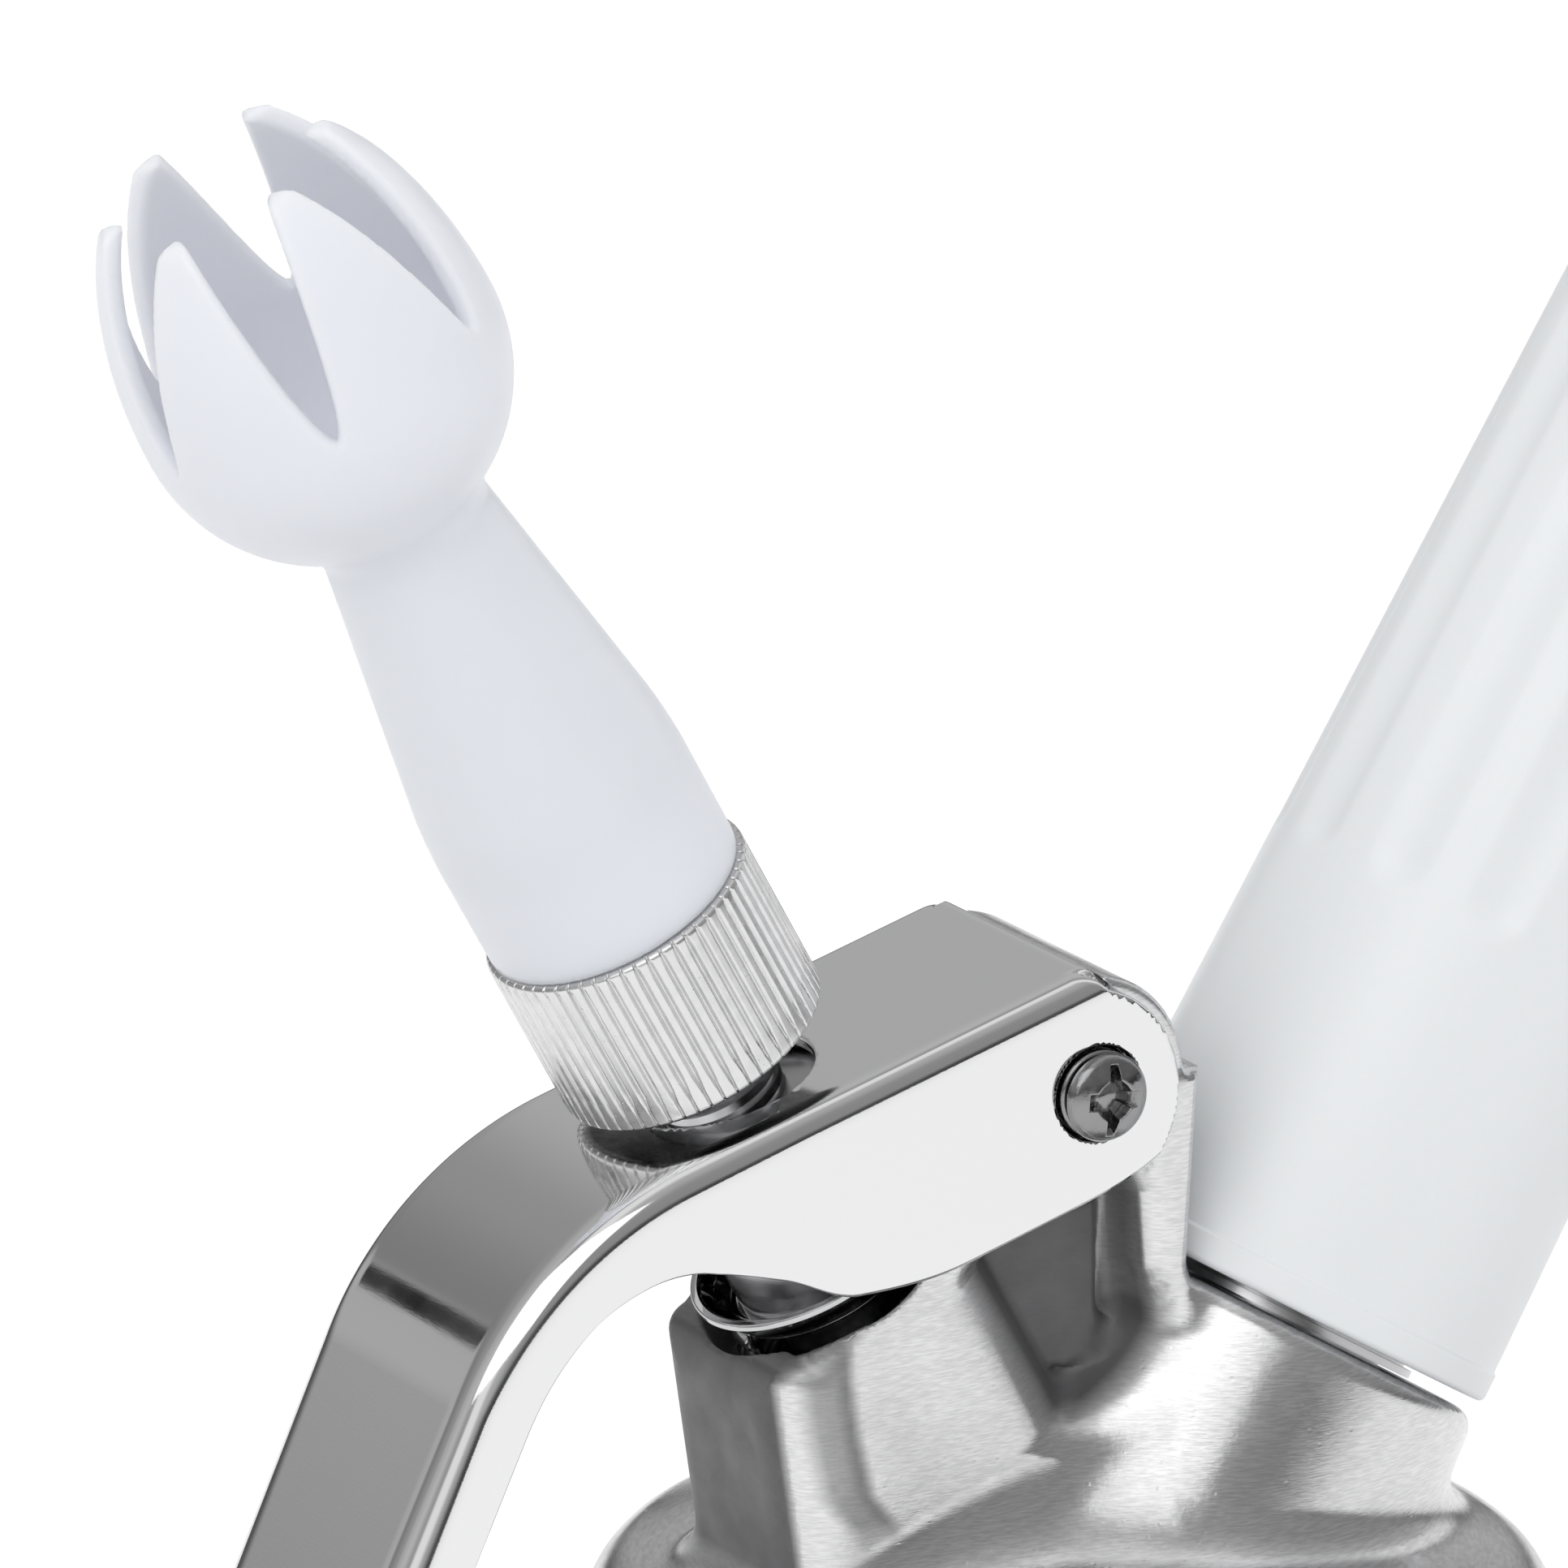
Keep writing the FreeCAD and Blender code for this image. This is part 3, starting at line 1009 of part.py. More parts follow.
# ================================================================ all the pieces
PIECES = {
    "bottle": make_bottle,
    "head_casting": make_head_casting,
    "head_gasket": make_head_gasket,
    "lever": make_lever,
    "pivot_bush": make_pivot_bush,
    "pivot_screw": make_pivot_screw,
    "pivot_nut": make_pivot_nut,
    "guide_bush": make_guide_bush,
    "valve_stem": make_valve_stem,
    "stem_o_rings": make_stem_o_rings,
    "valve_seal": make_valve_seal,
    "seal_nut": make_seal_nut,
    "spring_cup": make_spring_cup,
    "return_spring": make_return_spring,
    "knurled_insert": make_knurled_insert,
    "tip_washer": make_tip_washer,
    "decorating_tip": make_decorating_tip,
    "charger_holder": make_charger_holder,
    "holder_insert": make_holder_insert,
    "charger": make_charger,
    "pin_holder": make_pin_holder,
    "piercing_pin": make_piercing_pin,
    "charger_gasket": make_charger_gasket,
    "check_valve": make_check_valve,
}


def main():
    os.makedirs(PARTS_FOLDER, exist_ok=True)
    for name, make in PIECES.items():
        shape = make()
        shape.exportStep(os.path.join(PARTS_FOLDER, name + ".step"))
        print(name, "valid", shape.isValid(), "solids", len(shape.Solids),
              "volume", round(shape.Volume, 1))


main()
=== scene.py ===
import math
import bpy
import numpy as np
from mathutils import Matrix, Vector


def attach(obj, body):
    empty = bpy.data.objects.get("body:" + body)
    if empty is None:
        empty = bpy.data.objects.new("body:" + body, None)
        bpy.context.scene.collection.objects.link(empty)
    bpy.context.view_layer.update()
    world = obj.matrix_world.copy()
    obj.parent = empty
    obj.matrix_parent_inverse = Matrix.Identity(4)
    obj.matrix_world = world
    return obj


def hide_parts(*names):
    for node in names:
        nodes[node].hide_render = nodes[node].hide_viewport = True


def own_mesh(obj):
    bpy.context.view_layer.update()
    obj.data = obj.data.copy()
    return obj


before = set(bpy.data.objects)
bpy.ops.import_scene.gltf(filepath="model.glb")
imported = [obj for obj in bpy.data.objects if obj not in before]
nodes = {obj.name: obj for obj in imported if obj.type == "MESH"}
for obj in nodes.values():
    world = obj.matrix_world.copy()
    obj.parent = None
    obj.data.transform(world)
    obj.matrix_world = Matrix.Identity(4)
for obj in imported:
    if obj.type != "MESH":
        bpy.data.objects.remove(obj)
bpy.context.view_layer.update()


# ============================================================================ bottle
# Half-litre bottle, deep drawn from aluminium, with a threaded neck rolled on its mouth.
# It is satin finished on a lathe, so fine rings run round it; everything else screws on to it.
def put_down(name, points, quads, triangles=(), normals=None):
    """Mesh object from points in millimetres. The skin is turned right side out if the volume
    inside it, the sum of corner x (corner x corner), comes out negative. A point's normal is
    the sum of its faces' cross products, so large faces lead, unless the piece gives its own."""
    quads = np.asarray(quads).reshape(-1, 4)
    triangles = np.asarray(triangles, int).reshape(-1, 3)
    halves = np.concatenate([quads[:, [0, 1, 2]], quads[:, [0, 2, 3]], triangles])
    a, b, c = (points[halves[:, k]] for k in range(3))
    if np.einsum("ij,ij->", a, np.cross(b, c)) < 0:
        quads, triangles, halves = quads[:, ::-1], triangles[:, ::-1], halves[:, ::-1]
        a, c = c, a
    if normals is None:
        square = np.cross(b - a, c - a)
        normals = np.stack([sum(np.bincount(halves[:, k], square[:, axis], len(points))
                                for k in range(3)) for axis in range(3)], 1)
    normals = normals / np.maximum(np.linalg.norm(normals, axis=1), 1e-12)[:, None]
    mesh = bpy.data.meshes.new(name)
    mesh.from_pydata((points * 0.001).tolist(), [], quads.tolist() + triangles.tolist())
    mesh.polygons.foreach_set("use_smooth", np.ones(len(mesh.polygons), bool))
    mesh.normals_split_custom_set_from_vertices(normals.tolist())
    mesh.update()
    piece = bpy.data.objects.new(name, mesh)
    bpy.context.scene.collection.objects.link(piece)
    return piece


def eased(corners, fine=8):
    """Profile whose corners are eased: a corner (radius, height, ease) becomes an arc that
    touches both straight runs beside it, or stays a point where its ease is nought."""
    spots = np.array([c[:2] for c in corners], float)
    out = []
    for k, (here, corner) in enumerate(zip(spots, corners)):
        ease = corner[2] if len(corner) > 2 else 0
        if not ease:
            out.append(here[None])
            continue
        back = spots[k - 1] - here
        on = spots[(k + 1) % len(spots)] - here
        back, on = back / np.linalg.norm(back), on / np.linalg.norm(on)
        half = math.acos(np.clip(back @ on, -1, 1)) / 2
        middle = here + (back + on) / np.linalg.norm(back + on) * ease / math.sin(half)
        first = here + back * ease / math.tan(half) - middle
        last = here + on * ease / math.tan(half) - middle
        swing = math.atan2(first[0] * last[1] - first[1] * last[0], first @ last)
        turn = np.linspace(0, swing, fine)
        out.append(middle + np.stack([first[0] * np.cos(turn) - first[1] * np.sin(turn),
                                      first[0] * np.sin(turn) + first[1] * np.cos(turn)], 1))
    return np.concatenate(out)


def closer(profile, longest, closed=False):
    """The same profile with points added, so that no run is longer than the given length."""
    ends = np.concatenate([profile, profile[:1]]) if closed else profile
    runs = []
    for a, b in zip(ends[:-1], ends[1:]):
        marks = max(2, int(np.linalg.norm(b - a) / longest) + 2)
        runs.append(a + (b - a) * np.linspace(0, 1, marks)[:-1, None])
    return np.concatenate(runs + ([] if closed else [ends[-1:]]))


def arc(middle_r, middle_h, bend, turn):
    """Run of a profile along a circle: (r, h) is the middle plus bend times (cos, sin) of the
    turn. A bend below nought starts on the side of the axis."""
    return np.stack([middle_r + bend * np.cos(turn), middle_h + bend * np.sin(turn)], 1)


def once_round(steps):
    """Angles once round in even steps; the last one stops short of the first."""
    return np.linspace(0, 2 * np.pi, steps, endpoint=False)


def rising(value, start, run):
    """Share that climbs evenly from 0 at the start to 1 one run further on. A run below nought
    leads the other way, so the share is 1 well below the start and 0 from there on."""
    return np.clip((value - start) / run, 0, 1)


def round_skin(radius, height, angle):
    """Skin carried round an axis: row k, angle t gives (r cos t, r sin t, h), with r and h from
    the row and, where they are tables, from the angle too. Rows that begin and end on the
    axis close there in one point; other rows join last to first."""
    steps = len(angle)
    radius, height, turn = np.broadcast_arrays(radius, height, angle[None, :])
    capped = radius[0].max() < 1e-9
    ring = slice(1, -1) if capped else slice(None)
    points = np.stack([radius * np.cos(turn), radius * np.sin(turn), height], -1)
    points = points[ring].reshape(-1, 3)
    rows = len(points) // steps
    k, j = np.mgrid[0:rows - 1 if capped else rows, 0:steps]
    up, on = (k + 1) % rows, (j + 1) % steps
    quads = [k * steps + j, k * steps + on, up * steps + on, up * steps + j]
    caps = []
    if capped:
        j = np.arange(steps)
        on = (j + 1) % steps
        last = (rows - 1) * steps
        points = np.concatenate([points, [[0, 0, height[0, 0]], [0, 0, height[-1, 0]]]])
        foot, top = rows * steps + 0 * j, rows * steps + 1 + 0 * j
        caps = np.concatenate([np.stack([on, j, foot], 1), np.stack([last + j, last + on, top], 1)])
    return points, np.stack(quads, -1).reshape(-1, 4), caps


def material(name, colour, metal, rough):
    """New node material with its plain values on the shader's own sockets."""
    made = bpy.data.materials.new(name)
    made.use_nodes = True
    shader = made.node_tree.nodes["Principled BSDF"]
    shader.inputs["Base Color"].default_value = (*colour, 1)
    shader.inputs["Metallic"].default_value = metal
    shader.inputs["Roughness"].default_value = rough
    made.diffuse_color = (*colour, 1)
    return made


def node(made, kind, links=(), **values):
    """Adds a node; links are (input, socket) pairs and values are settings or input values."""
    new = made.node_tree.nodes.new("ShaderNode" + kind)
    for key, value in values.items():
        if hasattr(new, key) and key not in new.inputs:
            setattr(new, key, value)
        else:
            new.inputs[key.replace("_", " ")].default_value = value
    for into, socket in links:
        made.node_tree.links.new(socket, new.inputs[into])
    return new


def grain(made, stretch, size, detail=3.0, turn=(0, 0, 0)):
    """Noise on the piece's own coordinates. size is the grain in millimetres, stretch how many
    times longer it is along each axis once the pattern is turned."""
    place = node(made, "TexCoord")
    lie = node(made, "Mapping", [("Vector", place.outputs["Object"])])
    lie.inputs["Rotation"].default_value = turn
    lie.inputs["Scale"].default_value = [1000.0 / size / s for s in stretch]
    noise = node(made, "TexNoise", [("Vector", lie.outputs["Vector"])], Scale=1.0, Detail=detail)
    return noise.outputs["Fac"]


def between(made, socket, low, high, from_low=0.3, from_high=0.7, shape="LINEAR"):
    """Maps a value's useful middle range on to low..high."""
    spread = node(made, "MapRange", [("Value", socket)], interpolation_type=shape)
    ends = {"From Min": from_low, "From Max": from_high, "To Min": low, "To Max": high}
    for key, value in ends.items():
        spread.inputs[key].default_value = value
    return spread.outputs["Result"]


def feed(made, name, socket):
    """Joins a socket to one of the shader's inputs."""
    made.node_tree.links.new(socket, made.node_tree.nodes["Principled BSDF"].inputs[name])


def relief(made, layers):
    """Bump laid in layers of (height socket, depth in millimetres, strength)."""
    before = None
    for socket, depth, strength in layers:
        bump = node(made, "Bump", [("Height", socket)], Strength=strength, Distance=depth * 0.001)
        if before:
            made.node_tree.links.new(before, bump.inputs["Normal"])
        before = bump.outputs["Normal"]
    feed(made, "Normal", before)


BOTTLE_R, BOTTLE_WALL, BODY_TOP, NECK_FOOT, RIM = 37.5, 1.5, 162.0, 181.053, 196.003
SHOULDER_R, THROAT_R, BASE_INSIDE, DIMPLE_INSIDE = 16, 5, 1.9, 2.9
BOTTLE_NECK_R, NECK_CREST_R, THREAD_PITCH, THREAD_TURNS = 25.5, 26.6, 3.2, 3
around_bottle = once_round(288)
# the shoulder is a convex arc, a short straight and a concave arc up into the neck
swing = np.radians(np.linspace(0, 60, 22))
outside = np.concatenate([
    eased([(0, 1.4), (22, 1.1, 30), (30.5, 0, 2.5), (BOTTLE_R, 0, 4.0), (BOTTLE_R, BODY_TOP - 30)])[:-1],
    arc(BOTTLE_R - SHOULDER_R, BODY_TOP, SHOULDER_R, swing),
    arc(BOTTLE_NECK_R + THROAT_R, NECK_FOOT, -THROAT_R, swing)[::-1],
    closer(np.array([[BOTTLE_NECK_R, NECK_FOOT + 0.5], [BOTTLE_NECK_R, RIM - 0.5]]), 0.28),
    [[BOTTLE_NECK_R - 0.15, RIM - 0.15], [BOTTLE_NECK_R - 0.5, RIM]]])
inner_r = BOTTLE_R - BOTTLE_WALL
inside = np.concatenate([
    [[BOTTLE_NECK_R - BOTTLE_WALL + 0.4, RIM], [BOTTLE_NECK_R - BOTTLE_WALL, RIM - 0.4]],
    arc(BOTTLE_NECK_R + THROAT_R, NECK_FOOT, -THROAT_R - BOTTLE_WALL, swing),
    arc(BOTTLE_R - SHOULDER_R, BODY_TOP, SHOULDER_R - BOTTLE_WALL, swing[::-1]),
    eased([(inner_r, BODY_TOP - 30), (inner_r, BASE_INSIDE, 3.0), (30, BASE_INSIDE, 4),
           (20, DIMPLE_INSIDE, 30), (0, DIMPLE_INSIDE)])[1:]])
bottle_rows = closer(np.concatenate([outside, inside]), 6.0)
# rolled screw thread: a rounded crest that climbs one pitch for each turn round the neck
radius = np.repeat(bottle_rows[:, :1], len(around_bottle), 1)
height = np.repeat(bottle_rows[:, 1:], len(around_bottle), 1)
climb = (height - (NECK_FOOT + 4.0)) / THREAD_PITCH - around_bottle[None, :] / (2 * np.pi)
crest = np.clip(1.6 - 6.8 * np.abs(climb - np.round(climb)), 0, 1)
crest = crest * crest * (3 - 2 * crest)
run_out = rising(climb, -0.55, 1 / 6) * rising(climb, THREAD_TURNS - 0.45, -1 / 6)
on_neck = np.abs(radius - BOTTLE_NECK_R) < 1e-6
radius = np.where(on_neck, radius + (NECK_CREST_R - BOTTLE_NECK_R) * crest * run_out, radius)
bottle = put_down("bottle_body", *round_skin(radius, height, around_bottle))

satin = material("satin_aluminium", (0.63, 0.63, 0.637), 1.0, 0.4)
rings = grain(satin, (400, 400, 1), 0.09, 4)
bands = grain(satin, (60, 60, 1), 2.2, 2)
feed(satin, "Roughness", between(satin, bands, 0.40, 0.46))
lathe_way = node(satin, "Tangent", direction_type="RADIAL", axis="Z")
feed(satin, "Tangent", lathe_way.outputs["Tangent"])
satin_shader = satin.node_tree.nodes["Principled BSDF"]
satin_shader.inputs["Anisotropic"].default_value = 0.7
satin_shader.inputs["Anisotropic Rotation"].default_value = 0.25
relief(satin, [(rings, 0.002, 0.3)])
bottle.data.materials.append(satin)
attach(bottle, "bottle")
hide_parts("bottle")


# ============================================================================ head gasket
# Flat rubber ring that the bottle's rim presses into the ceiling of the head. It is moulded
# in one piece and is only seen when the head is off.
def dress(names, made):
    """Gives solids that keep their drawn shape their material."""
    for name in names:
        nodes[name].data.materials.clear()
        nodes[name].data.materials.append(made)


rubber = material("seal_rubber", (0.035, 0.035, 0.035), 0.0, 0.62)
relief(rubber, [(grain(rubber, (1, 1, 1), 0.35, 4), 0.02, 0.5)])
dress(["head_gasket"], rubber)


# ============================================================================ head casting
# One aluminium die casting: threaded skirt under a shallow dome, a flat-sided boss for the
# valve, a round boss for the charger and a lug for the lever. It is ground and polished
# outside; the two cored pockets keep their matte skin, and their dark colour is painted shade.
def joined(a, b, fillet):
    """Depth of two bodies joined with a fillet: the lesser depth, less the hollow of a circle
    of that radius that touches both."""
    near_both = np.hypot(np.maximum(fillet - a, 0), np.maximum(fillet - b, 0))
    return np.maximum(fillet, np.minimum(a, b)) - near_both


def shared(a, b, ease):
    """Depth of what two bodies share, with the edge between them eased to a round."""
    past_both = np.hypot(np.maximum(ease + a, 0), np.maximum(ease + b, 0))
    return np.minimum(-ease, np.maximum(a, b)) + past_both


def blended(a, b, width):
    """Depth of two bodies joined where their faces lie almost in one plane: the lesser depth,
    and a parabola that touches both where they differ by less than the width."""
    return np.minimum(a, b) - np.maximum(width - np.abs(a - b), 0) ** 2 / (4 * width)


def drilled(about, radius, along, foot, top=1000):
    """Depth of a straight bore of that radius about an axis, from foot to top along it."""
    return np.maximum(about - radius, np.maximum(foot - along, along - top))


def outline_depth(x, z, corners):
    """Distance to the nearest run of an outline, below nought for a point inside it, where a
    level line to one side crosses the runs an odd number of times."""
    nearest, within = np.inf, False
    for (x0, z0), (x1, z1) in zip(corners, corners[1:] + corners[:1]):
        run_x, run_z = x1 - x0, z1 - z0
        share = np.clip(((x - x0) * run_x + (z - z0) * run_z) / (run_x ** 2 + run_z ** 2), 0, 1)
        nearest = np.minimum(nearest, (x - x0 - share * run_x) ** 2 + (z - z0 - share * run_z) ** 2)
        if abs(run_z) > 1e-9:
            within = within ^ (((z0 > z) != (z1 > z)) & (x < x0 + run_x * (z - z0) / run_z))
    return np.sqrt(nearest) * np.where(within, -1, 1)


def spaced(*stretches):
    """Grid lines over stretches (start, end, step), evenly spaced in each."""
    runs = [np.linspace(a, b, max(2, int(round((b - a) / step)) + 1))[:-1]
            for a, b, step in stretches]
    return np.concatenate(runs + [[stretches[-1][1]]])


def level_skin(depth, lines, blur=0.35):
    """Closed skin of a body whose depth rule is below nought inside. Three sets of grid lines
    divide a box into cells. A cell that the skin crosses gets one point, where the planes that
    touch the skin at its cut edges meet best, which keeps edges crisp, and the four cells round
    each cut edge make a face. The points then slide down the slope of the depth on to the
    skin, and the slope there, taken over a share of the cell, is their normal."""
    # millimetres over which a slope is taken, the pull towards the middle of the cuts, and how
    # many cells a point may move when it is placed and when it slides
    fine, to_middle, in_cell, in_slide = 0.02, 0.08, 0.75, 0.5
    value = depth(lines[0][:, None, None], lines[1][None, :, None], lines[2][None, None, :])
    cells = np.array(value.shape) - 1
    stride = np.array([cells[1] * cells[2], cells[2], 1])
    unit = np.eye(3)

    def slope(at, h):
        sides = [depth(*(at + h * unit[k]).T) - depth(*(at - h * unit[k]).T) for k in range(3)]
        return np.stack(sides, 1) / (2 * h)

    rings, spots = [], []
    for axis in range(3):
        near, far = [slice(None)] * 3, [slice(None)] * 3
        near[axis], far[axis] = slice(None, -1), slice(1, None)
        a, b = value[tuple(near)], value[tuple(far)]
        spot = np.argwhere((a < 0) != (b < 0))
        first, second = a[tuple(spot.T)], b[tuple(spot.T)]
        place = np.stack([lines[k][spot[:, k]] for k in range(3)], 1)
        place[:, axis] += np.diff(lines[axis])[spot[:, axis]] * first / (first - second)
        u, v = (axis + 1) % 3, (axis + 2) % 3
        ring = []
        for du, dv in ((0, 0), (-1, 0), (-1, -1), (0, -1)):
            cell = spot.copy()
            cell[:, u] += du
            cell[:, v] += dv
            ring.append(cell @ stride)
        ring = np.stack(ring, 1)
        ring[first > 0] = ring[first > 0][:, ::-1]
        rings.append(ring)
        spots.append(place)
    ring, spot = np.concatenate(rings), np.concatenate(spots)
    square = slope(spot, fine)
    square = square / np.maximum(np.linalg.norm(square, axis=1), 1e-9)[:, None]
    used, owner = np.unique(ring, return_inverse=True)
    owner = owner.reshape(-1)

    def gathered(weights):
        return np.bincount(owner, np.repeat(weights, 4), len(used))

    share = gathered(np.ones(len(spot)))
    middle = np.stack([gathered(spot[:, k]) for k in range(3)], 1) / share[:, None]
    pull = np.stack([gathered(square[:, k] * (square * spot).sum(1)) for k in range(3)], 1)
    hold = np.stack([np.stack([gathered(square[:, k] * square[:, m]) for m in range(3)], 1)
                     for k in range(3)], 1)
    pull = pull - np.einsum("nij,nj->ni", hold, middle)
    hold = hold + to_middle * share[:, None, None] * unit
    move = np.linalg.solve(hold, pull[:, :, None])[:, :, 0]
    index = np.stack(np.unravel_index(used, cells), 1)
    size = np.stack([np.diff(lines[k])[index[:, k]] for k in range(3)], 1)
    points = middle + np.clip(move, -in_cell * size, in_cell * size)
    size = size.min(1)
    start = points.copy()
    for _ in range(3):
        lean = slope(points, fine)
        steep = np.maximum((lean ** 2).sum(1), 0.3)
        points = points - lean * (depth(*points.T) / steep)[:, None]
        stray = points - start
        length = np.maximum(np.linalg.norm(stray, axis=1), 1e-9)
        points = start + stray * np.minimum(1, in_slide * size / length)[:, None]
    return points, owner.reshape(-1, 4), slope(points, blur * size[:, None])


# MEET is the height at which the axes of the two ports cross the bottle's
SKIRT_R, SKIRT_BORE_R, SKIRT_BOTTOM, CROWN, DOME_R = 31.0, 28.0, 182.003, 207.303, 80.9
MEET, NOZZLE_TILT, CHARGER_TILT = 191.003, math.radians(29.2), math.radians(31.2)
PIVOT_X, PIVOT_Z, WEB_SLOPE = -4.15, 235.933, math.radians(16.1)
LUG_R, LUG_NOSE_R, LUG_REAR, PIVOT_BORE_R = 7.1, 6.2, 3.0, 3.0
FLAT_HALF, BOSS_R, MOUTH_V, LIP_RISE, LIP_V, CUP_BORE_R = 8.72, 9.5, 38.0, 1.7, 36.9, 8.15
CHARGER_BOSS_R, CHARGER_BOSS_TOP, HOLDER_ROOM_R = 14.5, 28.9, 15.1
POCKET_HALF, PAD_HALF, WALL_X, WALL_Z, WALL_DRAFT = 3.2, 4.8, -24.95, 211.0, 0.15


def by_nozzle(x, z):
    """Distance across and along the dispensing port, whose axis leans to -X."""
    return (x * math.cos(NOZZLE_TILT) + (z - MEET) * math.sin(NOZZLE_TILT),
            -x * math.sin(NOZZLE_TILT) + (z - MEET) * math.cos(NOZZLE_TILT))


def by_charger(x, z):
    """Distance across and along the charger port, whose axis leans to +X."""
    return (x * math.cos(CHARGER_TILT) - (z - MEET) * math.sin(CHARGER_TILT),
            x * math.sin(CHARGER_TILT) + (z - MEET) * math.cos(CHARGER_TILT))


def nozzle_spot(across, along):
    """(x, z) of a point beside the dispensing port."""
    return (across * math.cos(NOZZLE_TILT) - along * math.sin(NOZZLE_TILT),
            MEET + across * math.sin(NOZZLE_TILT) + along * math.cos(NOZZLE_TILT))

# side views (x, z) of the cored pocket, of the pad that stands in it, and of the spine
POCKET_OUTLINE = [(-11.0, 213.1), (-8.8, 213.3), (-3.0, 214.3), (2.5, 215.6), (7.0, 217.6),
                  (7.0, 219.2), (3.3, 219.7), (1.9, 220.5), (0.9, 221.6), (0.4, 223.0),
                  (0.0, 228.0), (-1.0, 230.1), (-4.2, 230.0), (-8.9, 226.9), (-15.9, 222.0)]
PAD_OUTLINE = [(-12.6, 227.2), (-6.6, 216.5), (-3.4, 216.6), (-2.0, 217.4), (-1.2, 219.2),
               (-1.0, 221.5), (-1.0, 227.2)]
# the spine's outer lip stands a little higher than the rest of the mouth
SPINE_OUTLINE = [(-45, 195), nozzle_spot(-30, MOUTH_V + LIP_RISE),
                 nozzle_spot(-7.4, MOUTH_V + LIP_RISE), nozzle_spot(-5.8, MOUTH_V),
                 nozzle_spot(BOSS_R + 0.6, MOUTH_V), (PIVOT_X - 3.5, PIVOT_Z - 4.0),
                 (PIVOT_X + 2.0, PIVOT_Z), (4.3, PIVOT_Z), (3.4, 221.3), (8.3, 199.3), (8.3, 195)]


def pocket_depth(x, y, z):
    """Cored pocket on each side: an outline in the side view, down to the floor, with its
    inner corners well rounded. Its outer edge is hidden in the round valve body."""
    return shared(outline_depth(x, z, POCKET_OUTLINE), POCKET_HALF - np.abs(y), 3.2)


def casting_depth(x, y, z):
    """Depth rule of the casting: dome and skirt, bosses, spine and lug joined with fillets,
    then the pockets and the bores taken out and the skirt's thread put back. The last value
    given to joined and shared is the radius of the fillet or the rounded edge."""
    side = np.abs(y) - FLAT_HALF
    around = np.hypot(x, y)
    across, along = by_nozzle(x, z)
    off_c, up_c = by_charger(x, z)
    about_n, about_c = np.hypot(across, y), np.hypot(off_c, y)
    dome = np.hypot(around, z - CROWN + DOME_R) - DOME_R
    cap = shared(shared(around - SKIRT_R, dome, 3.0), SKIRT_BOTTOM - z, 0.8)
    spine = shared(outline_depth(x, z, SPINE_OUTLINE), side, 1.0 + 1.5 * rising(across, 0, -4.0))
    spine = shared(spine, -pocket_depth(x, y, z), 2.3)
    # round body about the valve, with the spine's flats ground on it
    tube = np.maximum(-blended(BOSS_R - about_n, -side, 0.75), np.maximum(along - MOUTH_V, 8 - along))
    valve_body = np.maximum(blended(spine, tube, 0.9), side)
    # drafted outer wall, well rounded into the flats and the lip; 0.989 is its draft's cosine
    wall = (WALL_X - WALL_DRAFT * (z - WALL_Z) - x) * 0.989
    valve_body = shared(valve_body, wall, 4.4)
    pad = shared(outline_depth(x, z, PAD_OUTLINE), np.abs(y) - PAD_HALF, 0.45)
    valve_body = joined(valve_body, pad, 0.5)
    reach = np.hypot(x - PIVOT_X, z - PIVOT_Z)
    past = (x - PIVOT_X) * math.cos(WEB_SLOPE) + (z - PIVOT_Z) * math.sin(WEB_SLOPE)
    lug = np.minimum(reach - LUG_NOSE_R, np.maximum(reach - LUG_R, LUG_REAR - past))
    valve_body = joined(valve_body, shared(lug, side, 0.6), 0.8)
    # the gas boss is a cone, and 0.996 the cosine of its taper
    cone = (about_c - CHARGER_BOSS_R - 0.09 * (CHARGER_BOSS_TOP - 1 - up_c)) * 0.996
    gas_boss = shared(cone, np.maximum(up_c - CHARGER_BOSS_TOP, 6 - up_c), 1.6)
    fillet = np.interp(x, (-27.0, -23.0, -17.4, -9.0, 0.0, 8.0), (2.2, 3.4, 4.4, 5.8, 6.8, 5.0))
    body = joined(joined(cap, valve_body, fillet), gas_boss, 2.6)
    body = shared(body, -drilled(about_c, HOLDER_ROOM_R, up_c, CHARGER_BOSS_TOP), 0.5)
    mouth = np.maximum(about_n - CUP_BORE_R - (along - LIP_V) * 0.8, -6.2 - across)
    bore = np.maximum(mouth, LIP_V - along)
    # valve port from the mouth down, then gas port, gasket seat, neck and pivot
    for more in (drilled(about_n, CUP_BORE_R, along, 33.5), drilled(about_n, 7.3, along, 27),
                 drilled(about_n, 6.0, along, 13), drilled(about_n, 8.0, along, -4, 13),
                 drilled(about_c, 1.5, up_c, 0, 16.4), drilled(about_c, 3.2, up_c, 15.4, 19.0),
                 drilled(about_c, 7.5, up_c, 18.9), drilled(around, 19.0, z, 0, 199.003),
                 drilled(around, SKIRT_BORE_R, z, 0, 198.003), reach - PIVOT_BORE_R):
        bore = np.minimum(bore, more)
    body = shared(body, -bore, 0.3)
    turn = (z - (NECK_FOOT + 5.6)) / THREAD_PITCH - np.arctan2(y, x) / (2 * np.pi)
    ridge = np.abs(turn - np.round(turn)) * THREAD_PITCH - 0.41 - 0.49 * (around - 26.75)
    ridge = np.maximum(ridge, drilled(around, 28.3, z, 188.2 - 2.4, 188.2 + 2.4))
    return np.minimum(body, np.maximum(ridge, 26.75 - around))


